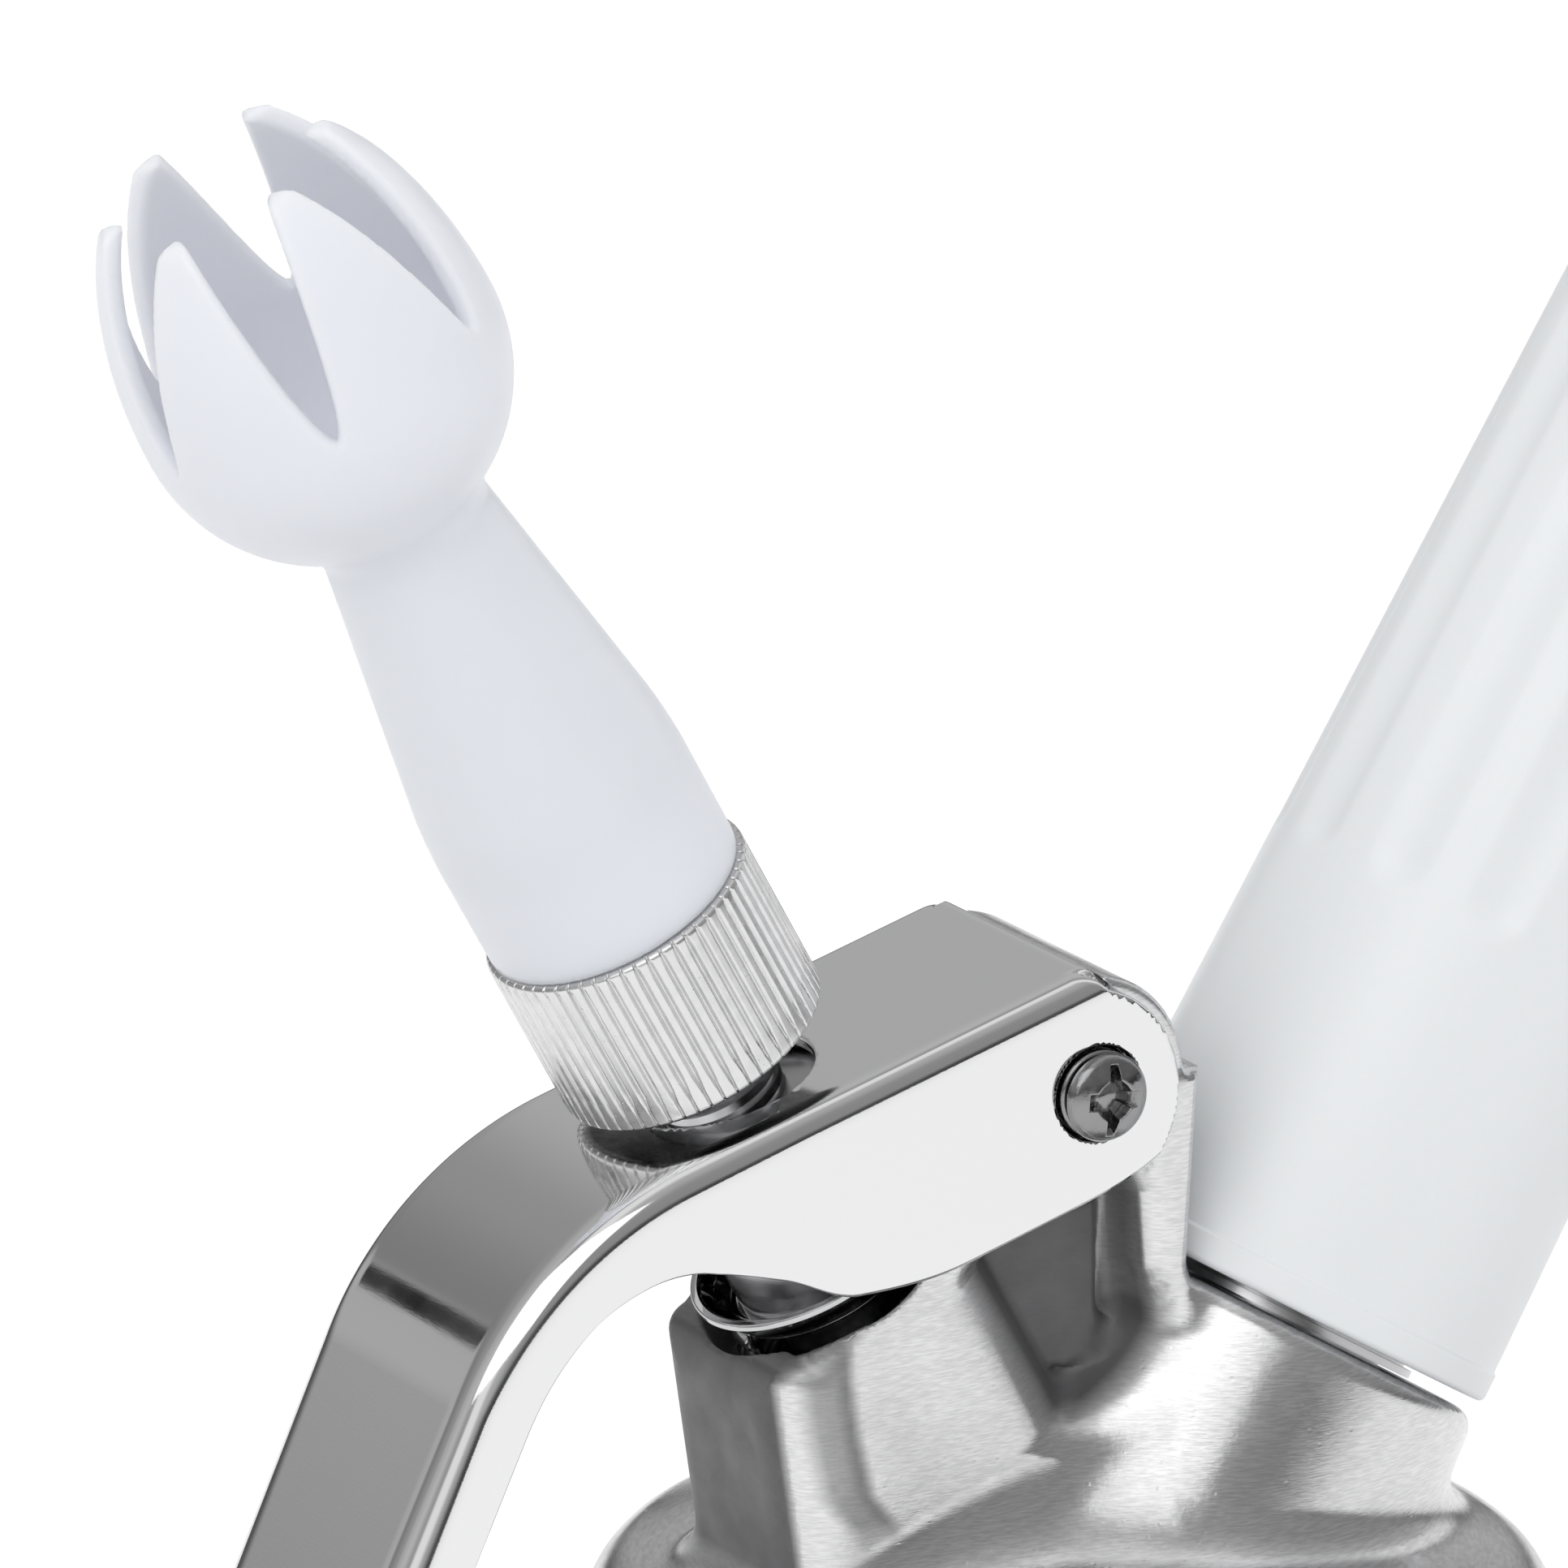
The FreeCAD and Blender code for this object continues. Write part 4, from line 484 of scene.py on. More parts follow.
points, quads, normals = level_skin(casting_depth, (
    spaced((-31.6, -29.2, 0.8), (-29.2, 6.4, 0.37), (6.4, 31.6, 0.8)),
    spaced((-31.6, -9.4, 0.8), (-9.4, 9.4, 0.37), (9.4, 31.6, 0.8)),
    spaced((181.4, 202.5, 0.8), (202.5, 243.7, 0.37))))
casting = put_down("head_body", points, quads, (), normals)
# the pockets and the mouth are darkened as painted shade; the wall behind the lever, its lip
# and a band along the rounded corner where the ground flat ends are darkened as painted dark
# reflection. The mark fades out over a millimetre or two and also gives these places a rough cast skin
x, y, z = points.T
off_middle = np.abs(y)
facing = normals / np.linalg.norm(normals, axis=1)[:, None]
# the pocket's dark colour is painted shade in the recess; its roughness is the matte cast skin
pocket_skin_and_shade = rising(pocket_depth(x, y, z), 0.84, -1.4) * rising(off_middle, FLAT_HALF - 0.15, -2.2)
on_pad = rising(off_middle, PAD_HALF - 0.7, 0.5) * rising(off_middle, PAD_HALF + 0.35, -0.3)
# the flat wall behind the lever is painted dark: a painted dark reflection
painted_wall_reflection = rising(facing[:, 0], -0.45, -0.3) * rising(np.abs(facing[:, 1]), 0.58, -0.14)
painted_wall_reflection = painted_wall_reflection * rising(x, -21.0, -1.5) * rising(z, 203.0, 3.0)
across, along = by_nozzle(x, z)
outwards = facing[:, 0] * math.cos(NOZZLE_TILT) + facing[:, 2] * math.sin(NOZZLE_TILT)
# the mouth's flare and bore are painted dark: painted shade inside the boss
painted_mouth_shade = rising(across * outwards + y * facing[:, 1], 0, -3.0)
painted_mouth_shade = painted_mouth_shade * (np.hypot(across, y) < 9.6) * (along > 28)
# a band along the rounded corner is painted darker, with a darker line where it ends: painted reflection
band_end = np.interp(z, (209.4, 211.7, 215.6, 219.7), (-17.4, -19.25, -20.2, -20.8)) - x
painted_band_reflection = rising(band_end, 0, 0.9) * rising(band_end, 4.1, -1.2) * rising(z, 208.5, 1.5)
painted_band_reflection = painted_band_reflection * (0.52 + 0.22 * rising(band_end, 1.8, -1.0)) * rising(off_middle, 5.5, 2.0)
# the outer lip above that wall is painted dark with it: painted dark reflection
lip = 0.8 * rising(along, LIP_V, 0.6) * rising(across, -2.0, -2.0) * (x < -18)
skin_and_painted_shade = np.max([pocket_skin_and_shade * (1 - 0.05 * on_pad), 0.62 * painted_mouth_shade, 0.93 * painted_wall_reflection, painted_band_reflection, lip], 0)
marks = casting.data.attributes.new("cast_skin_and_painted_shade", "FLOAT", "POINT")
marks.data.foreach_set("value", skin_and_painted_shade.astype(np.float32))


def specks(made, to_the_metre, core, rim):
    """Small pits round random points, so many to the metre: 0 at the core, 1 past the rim."""
    place = node(made, "TexCoord").outputs["Object"]
    spot = node(made, "TexVoronoi", [("Vector", place)], Scale=to_the_metre, Randomness=1.0)
    return between(made, spot.outputs["Distance"], 0.0, 1.0, core, rim)


def two_tone(made, share, plain, marked):
    """Colour that goes from plain to marked with the share; plain may be a node's socket."""
    mix = node(made, "Mix", [("Factor", share)], data_type="RGBA")
    if isinstance(plain, tuple):
        mix.inputs[6].default_value = (*plain, 1)
    else:
        made.node_tree.links.new(plain, mix.inputs[6])
    mix.inputs[7].default_value = (*marked, 1)
    return mix.outputs[2]


cast = material("polished_casting", (0.60, 0.60, 0.605), 1.0, 0.25)
# this mark makes the places rough like cast skin and paints their colour dark as shade and reflection
skin = node(cast, "Attribute", attribute_name="cast_skin_and_painted_shade").outputs["Fac"]
clouds = grain(cast, (1, 1, 1), 5.0, 4)
brush = grain(cast, (9, 9, 1), 0.1, 4)
ripple = grain(cast, (1, 1, 1), 2.6, 3)
pits = specks(cast, 900.0, 0.08, 0.16)
rough = node(cast, "Mix", [("Factor", skin), ("A", between(cast, clouds, 0.17, 0.28)),
                           ("B", between(cast, ripple, 0.46, 0.6))], data_type="FLOAT")
feed(cast, "Roughness", rough.outputs["Result"])
# the cast skin is partly oxide
feed(cast, "Metallic", between(cast, skin, 1.0, 0.5, 0.0, 1.0))
# strokes of the grinding belt are a little lighter and darker
strokes = between(cast, brush, 0.0, 1.0, 0.35, 0.65)
belt = two_tone(cast, strokes, (0.60, 0.60, 0.605), (0.74, 0.74, 0.745))
# marked places are painted dark: painted shade in the pockets and mouth, painted dark reflection on the
# wall, its lip and the band
feed(cast, "Base Color", two_tone(cast, skin, belt, (0.13, 0.13, 0.134)))
belt_way = node(cast, "Tangent", direction_type="RADIAL", axis="Z")
feed(cast, "Tangent", belt_way.outputs["Tangent"])
cast_shader = cast.node_tree.nodes["Principled BSDF"]
cast_shader.inputs["Anisotropic"].default_value = 0.55
cast_shader.inputs["Anisotropic Rotation"].default_value = 0.25
sand = grain(cast, (1, 1, 1), 0.4, 5)
relief(cast, [(ripple, 0.05, 0.2), (brush, 0.012, 0.5), (pits, 0.02, 0.3), (sand, 0.016, 0.4)])
casting.data.materials.append(cast)
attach(casting, "head")
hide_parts("head_casting")


# ============================================================================ lever
# Squeeze lever folded from one piece of stainless sheet: a web over the valve with a hole for
# its stem, two cheeks that hang on the pivot, and a long handle. It is satin polished, and the
# fold opens out a little along the handle.
LEVER_HALF, SHEET, WEB_RISE, WEB_RUN, BEND_R = 10.2, 1.2, 7.8, 39.66, 25.0
HANDLE_FALL, HANDLE_LENGTH, HANDLE_DEPTH, HANDLE_END_R = math.radians(25.3), 82.0, 4.8, 9.0
WEB_PAST, CHEEK_R, CHEEK_SHIFT, STEM_HOLE_R, PIVOT_HOLE_R = 2.4, 7.35, 1.5, 6.3, 3.05
bend_turn = math.pi / 2 - WEB_SLOPE - HANDLE_FALL
bend_run = BEND_R * math.tan(bend_turn / 2)
BEND_START = WEB_RUN - bend_run
LEVER_END = BEND_START + bend_turn * BEND_R - bend_run + HANDLE_LENGTH
# lower edge of the cheek: way along the fold from the pivot towards the handle's tip, and
# depth below it
CHEEK_EDGE = np.array([(-6.0, 12.2), (-3.0, 13.6), (0.0, 14.2), (3.0, 14.4), (11.8, 14.5),
                       (19.5, 13.15), (24.0, 9.9), (29.6, 6.9), (34.6, 5.6), (40.5, 4.9),
                       (47.0, HANDLE_DEPTH), (56.0, HANDLE_DEPTH), (150.0, HANDLE_DEPTH)])
TWIST_FREE, EDGE_MARK = 2.0, 8.0


def smooth_run(knots, spots):
    """Smooth curve through knots: between two of them a cubic whose slope at each end is the
    mean slope of the runs beside it, the shallower run counting more, or level at a turn."""
    x, y = knots.T
    run = np.diff(y) / np.diff(x)
    both = run[1:] * run[:-1]
    mean = np.where(both > 0, 2 * both / (run[1:] + run[:-1] + 1e-12), 0)
    lean = np.concatenate([run[:1], mean, run[-1:]])
    k = np.clip(np.searchsorted(x, spots) - 1, 0, len(x) - 2)
    wide = x[k + 1] - x[k]
    t = np.clip((spots - x[k]) / wide, 0, 1)
    return ((1 + 2 * t) * (1 - t) ** 2 * y[k] + t * (1 - t) ** 2 * wide * lean[k]
            + t * t * (3 - 2 * t) * y[k + 1] + t * t * (t - 1) * wide * lean[k + 1])


edge_table = np.linspace(-12, 150, 1600)
edge_depths = smooth_run(CHEEK_EDGE, edge_table)
edge_lean = np.gradient(edge_depths, edge_table)


def depth_below(way, e):
    """Depth below the fold line for mark e: straight down to TWIST_FREE, then stretched so that
    EDGE_MARK always falls on the cheek's lower edge."""
    edge = np.interp(way, edge_table, edge_depths)
    stretch = (edge - TWIST_FREE) / (EDGE_MARK - TWIST_FREE)
    return np.where(e < TWIST_FREE, e, TWIST_FREE + (e - TWIST_FREE) * stretch)


def lever_spot(way, y, e):
    """Position of a point of the unfolded lever: way along web, bend and handle, y across,
    mark e below that line."""
    angle = np.clip((way - BEND_START) / BEND_R, 0, bend_turn)
    past_arc, below = way - BEND_START - angle * BEND_R, BEND_R - depth_below(way, e)
    w = -BEND_START - below * np.sin(angle) - past_arc * np.cos(angle)
    h = WEB_RISE - BEND_R + below * np.cos(angle) - past_arc * np.sin(angle)
    return np.stack([PIVOT_X + w * math.cos(WEB_SLOPE) - h * math.sin(WEB_SLOPE), y,
                     PIVOT_Z + w * math.sin(WEB_SLOPE) + h * math.cos(WEB_SLOPE)], 1)


# the stem crosses the middle of the web here, measured along it from the pivot
web_middle = WEB_RISE - SHEET / 2
lean_x, lean_z = -math.sin(NOZZLE_TILT), math.cos(NOZZLE_TILT)
normal_x, normal_z = -math.sin(WEB_SLOPE), math.cos(WEB_SLOPE)
rise = web_middle + PIVOT_X * normal_x - (MEET - PIVOT_Z) * normal_z
rise = rise / (lean_x * normal_x + lean_z * normal_z)
STEM_CROSS = ((lean_x * rise - PIVOT_X) * math.cos(WEB_SLOPE)
              + (MEET + lean_z * rise - PIVOT_Z) * math.sin(WEB_SLOPE))


def lever_depth(way, y, e):
    """Depth rule of the unfolded lever. An eased corner between the line of web, bend and
    handle and the cheeks' outside is the fold, and the sheet is what lies within one thickness
    of that skin. It is then cut to the cheeks' outline, the round end and the handle's tip,
    and the two holes are taken out."""
    line = -depth_below(way, e)
    w, h = -way, WEB_RISE + line
    fold = 2.2 + 1.2 * rising(way, 20, 60)
    skin = shared(line, np.abs(y) - LEVER_HALF, fold)
    sheet = np.abs(skin + SHEET / 2) - SHEET / 2
    # the distance to the lower edge is measured square to it
    low = -line - np.interp(way, edge_table, edge_depths)
    low = low / np.sqrt(1 + np.interp(way, edge_table, edge_lean) ** 2)
    # round end, the straight that runs from it up to the web, and the web's tongue
    disc = np.hypot(w + CHEEK_SHIFT, h) - CHEEK_R
    shoulder = np.maximum((w - 2.62) * 0.86 + (h - 6.09) * 0.51, 5.0 - h)
    end = np.minimum(np.minimum(disc, shoulder), w + CHEEK_SHIFT)
    end = np.minimum(end, np.maximum(w - WEB_PAST, np.abs(y) - (LEVER_HALF - SHEET)))
    down = way - BEND_START - bend_turn * BEND_R + bend_run
    tip = shared(down - HANDLE_LENGTH, np.abs(y) - LEVER_HALF, HANDLE_END_R)
    stem_hole = np.where(h > 0, STEM_HOLE_R - np.hypot(w - STEM_CROSS, y), -20.0)
    holes = np.maximum(stem_hole, PIVOT_HOLE_R - np.hypot(w, h))
    trim = np.maximum(np.maximum(low, end), np.maximum(tip, holes))
    trim = np.maximum(trim, shared(line, end, 1.2))
    return shared(sheet, trim, 0.45)


flat, quads, lean = level_skin(lever_depth, (
    spaced((-7.0, -3.4, 0.24), (-3.4, 3.4, 0.125), (3.4, 9.0, 0.24), (9.0, 28.0, 0.36),
           (28.0, 50.0, 0.6), (50.0, LEVER_END - 10, 1.2), (LEVER_END - 10, LEVER_END + 0.6, 0.36)),
    spaced((-10.7, -6.5, 0.2), (-6.5, 6.5, 0.5), (6.5, 10.7, 0.2)),
    spaced((-0.6, 2.0, 0.2), (2.0, 3.1, 0.22), (3.1, 6.6, 0.09), (6.6, 7.4, 0.2), (7.4, 8.5, 0.12))))
points = lever_spot(*flat.T)
# the slope is turned as the lever is folded: each of its parts lies across the plane of the
# runs that the other two axes then have
step = 0.01 * np.eye(3)
runs = [(lever_spot(*(flat + move).T) - lever_spot(*(flat - move).T)) / 0.02 for move in step]
normals = sum(lean[:, k, None] * np.cross(runs[k - 2], runs[k - 1]) for k in range(3))
lever = put_down("lever_channel", points, quads, (), normals)

sheet_metal = material("satin_stainless", (0.78, 0.78, 0.785), 1.0, 0.16)
smudge = grain(sheet_metal, (1, 1, 1), 6.0, 5)
streak = grain(sheet_metal, (30, 8, 1), 0.12, 3, (0, WEB_SLOPE, 0))
feed(sheet_metal, "Roughness", between(sheet_metal, smudge, 0.045, 0.10))
relief(sheet_metal, [(grain(sheet_metal, (1, 1, 1), 9.0, 2), 0.03, 0.2), (streak, 0.003, 0.3)])
lever.data.materials.append(sheet_metal)
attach(lever, "lever")
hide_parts("lever")


# ============================================================================ pivot
# The lever turns on a steel bush pressed through lug and cheeks. A pan-head screw with a cross
# recess goes through it into a domed nut, all zinc plated.
SCREW_HEAD_R, SCREW_HEAD_RISE, SCREW_CROWN, SCREW_R, SCREW_TURN = 2.9, 2.0, 0.95, 2.0, -0.06
SCREW_HEAD_FOOT, SCREW_LENGTH, RECESS_SINK, BUSH_R, BUSH_TOP = 0.6, 20.9, 1.5, 2.85, 0.1


def screw_head_depth(x, y, z):
    """Pan head standing on z = 0: a drum under a ball's cap, with a cross recess whose wings
    taper to a point below."""
    ball = (SCREW_HEAD_R ** 2 + SCREW_CROWN ** 2) / (2 * SCREW_CROWN)
    around = np.hypot(x, y)
    crown = np.hypot(around, z - SCREW_HEAD_RISE + ball) - ball
    head = shared(shared(around - SCREW_HEAD_R, crown, 0.45), SCREW_HEAD_FOOT - z, 0.1)
    c, s = math.cos(SCREW_TURN), math.sin(SCREW_TURN)
    a, b = np.abs(x * c + y * s), np.abs(y * c - x * s)
    sink = SCREW_HEAD_RISE - z
    wing = np.minimum(np.maximum(a - 2.0 + sink * 0.7, b - 0.55 + sink * 0.15),
                      np.maximum(b - 2.75 + sink * 0.8, a - 0.60 + b * 0.11 + sink * 0.15))
    core = np.maximum(a, b) * 0.75 + np.minimum(a, b) * 0.6 - 1.3 + sink * 0.35
    cross = np.maximum(np.minimum(wing, core), sink - RECESS_SINK)
    return shared(head, -cross, 0.08)


def at_pivot(points):
    """From a drawing position on +Z to the pivot, on the near cheek, which looks to -Y."""
    x, y, z = points.T
    return np.stack([PIVOT_X + x, -(LEVER_HALF + z), PIVOT_Z + y], 1)


def turned(profile, steps):
    """Plain turned skin: a profile of (radius, height) carried round in so many steps."""
    return round_skin(*profile.T[:, :, None], once_round(steps))


over_head = spaced((-3.1, 3.1, 0.075))
points, quads, normals = level_skin(screw_head_depth, (over_head, over_head, spaced((-0.15, 2.2, 0.075))))
shank, shank_quads, shank_caps = turned(eased([
    (0, -SCREW_LENGTH), (1.9, -SCREW_LENGTH, 0.2), (SCREW_R, 0.5 - SCREW_LENGTH), (SCREW_R, 1.0),
    (0, 1.0)]), 64)
n = len(points)
screw = put_down("pivot_screw_cross", at_pivot(np.concatenate([points, shank])),
                 np.concatenate([quads, shank_quads + n]), shank_caps + n)

plated = material("plated_steel", (0.70, 0.70, 0.71), 1.0, 0.22)
feed(plated, "Roughness", between(plated, grain(plated, (1, 1, 1), 1.2, 4), 0.16, 0.32))
relief(plated, [(grain(plated, (1, 1, 1), 0.5, 4), 0.012, 0.4)])
zinc = material("worn_zinc", (0.29, 0.29, 0.294), 1.0, 0.2)
feed(zinc, "Roughness", between(zinc, grain(zinc, (1, 1, 1), 0.9, 4), 0.1, 0.34))
relief(zinc, [(grain(zinc, (1, 1, 1), 1.2, 3), 0.05, 0.5), (grain(zinc, (1, 1, 1), 0.3, 4), 0.012, 0.5)])
screw.data.materials.append(zinc)
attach(screw, "head")
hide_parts("pivot_screw")
# the bush ends flush with the cheek, and the screw's head stands just clear of it
bush_far, bush_bore_r = -2 * LEVER_HALF, SCREW_R + 0.1
bush_points, bush_quads, bush_caps = turned(eased([
    (bush_bore_r, bush_far, 0.1), (BUSH_R, bush_far, 0.1), (BUSH_R, BUSH_TOP, 0.3),
    (bush_bore_r, BUSH_TOP, 0.1)]), 128)
bush = put_down("pivot_bush_turned", at_pivot(bush_points), bush_quads, bush_caps)
bush.data.materials.append(zinc)
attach(bush, "head")
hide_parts("pivot_bush")
dress(["pivot_nut", "charger"], plated)


# ============================================================================ dispensing valve
# The hollow stem slides in a plastic bush and carries its seal and hex nut below, two O-rings,
# and a shoulder above that the lever presses. Stem and nut are turned from bar.
turned_steel = material("turned_steel", (0.56, 0.56, 0.57), 1.0, 0.24)
tool_marks = grain(turned_steel, (60, 60, 1), 0.12, 3, (0, NOZZLE_TILT, 0))
relief(turned_steel, [(tool_marks, 0.008, 0.4)])
dress(["valve_stem", "seal_nut", "holder_insert", "pin_holder", "piercing_pin"], turned_steel)
dress(["stem_o_rings", "valve_seal", "tip_washer", "charger_gasket", "check_valve"], rubber)


# ============================================================================ spring cup
# Dished washer pressed from steel and mirror plated. It sits on the return spring under the
# stem's step and shows as a bright ring deep in the boss's mouth.
CUP_R, CUP_STEP, CUP_RISE, CUP_WALL, STEM_R = 8.0, 38.0, 1.95, 0.8, 4.0


def on_port(points, tilt):
    """From a drawing position on +Z to a port: turned about Y by the tilt, lifted to the point
    where the two ports meet."""
    x, y, z = points.T
    return np.stack([x * math.cos(tilt) + z * math.sin(tilt), y,
                     MEET - x * math.sin(tilt) + z * math.cos(tilt)], 1)


cup_foot, cup_rim = CUP_STEP - CUP_WALL, CUP_STEP + CUP_RISE
cup_profile = eased([
    (STEM_R, cup_foot, 0.1), (6.3, cup_foot, 1.2), (7.45, CUP_STEP + 1.25, 0.3),
    (CUP_R, CUP_STEP + 1.5, 0.1), (CUP_R, cup_rim, 0.16), (CUP_R - 0.62, cup_rim, 0.28),
    (CUP_R - 1.15, CUP_STEP + 0.9, 0.8), (6.0, CUP_STEP, 0.8), (STEM_R, CUP_STEP, 0.1)], 10)
points, quads, caps = turned(cup_profile, 192)
cup = put_down("spring_cup_dish", on_port(points, -NOZZLE_TILT), quads, caps)
chrome = material("mirror_chrome", (0.55, 0.55, 0.554), 1.0, 0.06)
feed(chrome, "Roughness", between(chrome, grain(chrome, (1, 1, 1), 2.5, 3), 0.04, 0.11))
relief(chrome, [(grain(chrome, (40, 40, 1), 0.2, 2, (0, NOZZLE_TILT, 0)), 0.003, 0.4)])
cup.data.materials.append(chrome)
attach(cup, "valve")
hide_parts("spring_cup")


# ============================================================================ return spring
# Compression spring coiled from round wire, between the bush and the cup. Squeezing the lever
# shortens it; the coil here is made at one length.
SPRING_FOOT, SPRING_TOP, COILS, COIL_R, WIRE_R, VALVE_TRAVEL = 27.0, cup_foot, 4.5, 6.2, 0.6, 2.7
wind = np.linspace(0, 2 * np.pi * COILS, int(48 * COILS) + 1)
round_wire = once_round(20)[None, :]
out_r = COIL_R + WIRE_R * np.cos(round_wire)
middle_v = np.interp(wind, (0, wind[-1]), (SPRING_FOOT + WIRE_R, SPRING_TOP - WIRE_R))
wire_v = middle_v[:, None] + WIRE_R * np.sin(round_wire)
points = np.stack([out_r * np.cos(wind)[:, None], out_r * np.sin(wind)[:, None], wire_v], 2)
rows, ring = wire_v.shape
first = np.arange(rows - 1)[:, None] * ring + np.arange(ring)[None, :]
after = np.arange(rows - 1)[:, None] * ring + (np.arange(ring)[None, :] + 1) % ring
wire_quads = np.stack([first, first + ring, after + ring, after], -1)
fan = np.stack([np.zeros(ring - 2, int), np.arange(1, ring - 1), np.arange(2, ring)], 1)
wire_ends = np.concatenate([fan, fan[:, ::-1] + (rows - 1) * ring])
coil = put_down("return_coil", on_port(points.reshape(-1, 3), -NOZZLE_TILT), wire_quads, wire_ends)
coil.data.materials.append(plated)
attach(coil, "head")
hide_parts("return_spring")
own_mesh(coil)


# ============================================================================ knurled insert
# Aluminium collar that screws on to the stem. Its straight knurl is rolled, so the lands are
# wide and a little uneven and the grooves run out to a point; a spigot above is moulded into
# the tip.
COLLAR_V, COLLAR_R, COLLAR_BORE_TOP, KNURLS, KNURL_DEPTH = 56.4, 8.86, 65.2, 60, 0.34
SPIGOT_R, SPIGOT_RISE, CREAM_BORE_R, TIP_BASE = 6.3, 7.0, 2.6, 68.0
collar_bore_r, spigot_top = STEM_R + 0.05, TIP_BASE + SPIGOT_RISE
collar = closer(eased([
    (collar_bore_r, COLLAR_V, 0.15), (COLLAR_R, COLLAR_V, 0.55), (COLLAR_R, TIP_BASE, 0.4),
    (SPIGOT_R, TIP_BASE, 0.05), (SPIGOT_R, spigot_top, 0.2), (CREAM_BORE_R, spigot_top, 0.2),
    (CREAM_BORE_R, COLLAR_BORE_TOP, 0.05), (collar_bore_r, COLLAR_BORE_TOP, 0.05)], 6), 0.5, True)
turn = once_round(KNURLS * 12)
tooth = turn * KNURLS / (2 * np.pi)
number = np.floor(tooth + 0.5)
uneven = np.sin(number * 12.9898) * 43758.5453
uneven = (uneven - np.floor(uneven))[None, :]
rows_r, rows_v = collar[:, :1], collar[:, 1:]
off_groove = np.abs(tooth - number)[None, :]
# the groove narrows to a point near the collar's foot and runs out at the top
low_end = rising(rows_v, COLLAR_V + 0.9 + 0.7 * uneven, 1.5)
high_end = rising(rows_v, TIP_BASE - 0.25, -0.5)
half_width = (0.20 + 0.05 * uneven) * np.sqrt(low_end * high_end)
cut = np.clip(1 - off_groove / np.maximum(half_width, 1e-3), 0, 1) ** 0.7
wall = rising(rows_r, COLLAR_R - 0.6, 0.3) * (rows_v < TIP_BASE + 0.01)
cut = wall * cut * KNURL_DEPTH * (0.8 + 0.25 * uneven)
points, quads, caps = round_skin(rows_r - cut, rows_v, turn)
insert = put_down("knurled_collar", on_port(points, -NOZZLE_TILT), quads, caps)
# the collar's foot is painted dark: painted shade under the collar, where it faces the web
off_axis = np.hypot(points[:, 0], points[:, 1])
painted_foot_shade = rising(off_axis, COLLAR_R - 0.45, -0.2) * (points[:, 2] < COLLAR_V + 0.1)
marks = insert.data.attributes.new("painted_foot_shade", "FLOAT", "POINT")
marks.data.foreach_set("value", painted_foot_shade.astype(np.float32))
knurl = material("knurled_aluminium", (0.62, 0.62, 0.622), 1.0, 0.25)
feed(knurl, "Roughness", between(knurl, grain(knurl, (1, 1, 1), 1.0, 4), 0.2, 0.38))
foot_shade_share = node(knurl, "Attribute", attribute_name="painted_foot_shade").outputs["Fac"]
# base colour painted near black under the foot: painted shade
feed(knurl, "Base Color", two_tone(knurl, foot_shade_share, (0.71, 0.71, 0.712), (0.05, 0.05, 0.05)))
dents = specks(knurl, 1400.0, 0.04, 0.12)
relief(knurl, [(grain(knurl, (1, 1, 1), 0.5, 3), 0.012, 0.35), (dents, 0.03, 0.4)])
insert.data.materials.append(knurl)
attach(insert, "tip")
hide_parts("knurled_insert")


# ============================================================================ decorating tip
# Tulip tip moulded from white plastic round the insert: a plain sleeve, a long taper, and a
# bulb cut into six petals. Edges are rounded by the mould and the wall is just over a
# millimetre, so light comes through it a little.
TIP_BASE_R, TIP_STEP, TIP_STEP_R, TIP_NECK_R = 8.5, 9.6, 8.55, 5.35
BULB_UP, BULB_R, BULB_TALL, TIP_LENGTH, TIP_WALL = 41.4, 11.7, 19.5, 56.4, 1.35
PETALS, NOTCH_ROOT, NOTCH_POWER, PETAL_TIP_HALF, PETAL_TURN = 6, 42.4, 0.62, 1.05, math.radians(6.2)
upper = TIP_LENGTH - BULB_UP
top_r = BULB_R * math.sqrt(1 - (upper / BULB_TALL) ** 2)
mouth_half = top_r * math.sin(math.pi / PETALS - math.asin(PETAL_TIP_HALF / top_r))


def tip_form(around, v, inset):
    """Depth of the tip's turned form, shrunk by inset: sleeve, taper, ball and, above the
    ball's middle, a taller ellipse."""
    run_r = TIP_NECK_R - TIP_STEP_R
    run_v = BULB_UP - math.sqrt(BULB_R ** 2 - TIP_NECK_R ** 2) - TIP_STEP
    taper = (around - TIP_STEP_R) * run_v - (v - TIP_STEP) * run_r
    taper = taper / math.hypot(run_r, run_v) + inset
    sleeve = around - TIP_BASE_R - (TIP_STEP_R - TIP_BASE_R) * v / TIP_STEP + inset
    lower = np.maximum(shared(sleeve, taper, 0.35), v - BULB_UP + 4)
    # the ellipse is a ball pressed along the axis; its depth is evened out by its slope
    up = v - BULB_UP
    stretch = np.where(up > 0, (BULB_R - inset) / (BULB_TALL - inset), 1.0)
    reach = np.hypot(around, up * stretch)
    steep = np.hypot(around, up * stretch ** 2) / np.maximum(reach, 1e-6)
    ball = (reach - (BULB_R - inset)) / np.where(up > 0, steep, 1.0)
    return joined(lower, ball, 1.6)


notch_shares = np.array([0, 0.012, 0.05, 0.12, 0.22, 0.34, 0.48, 0.64, 0.82, 1.0, 1.15])
notch_half = mouth_half * notch_shares ** NOTCH_POWER
notch_v = NOTCH_ROOT + (TIP_LENGTH - NOTCH_ROOT) * notch_shares
notch_right = list(zip(notch_half, notch_v))
notch_outline = notch_right + [(-half, v) for half, v in notch_right[:0:-1]]


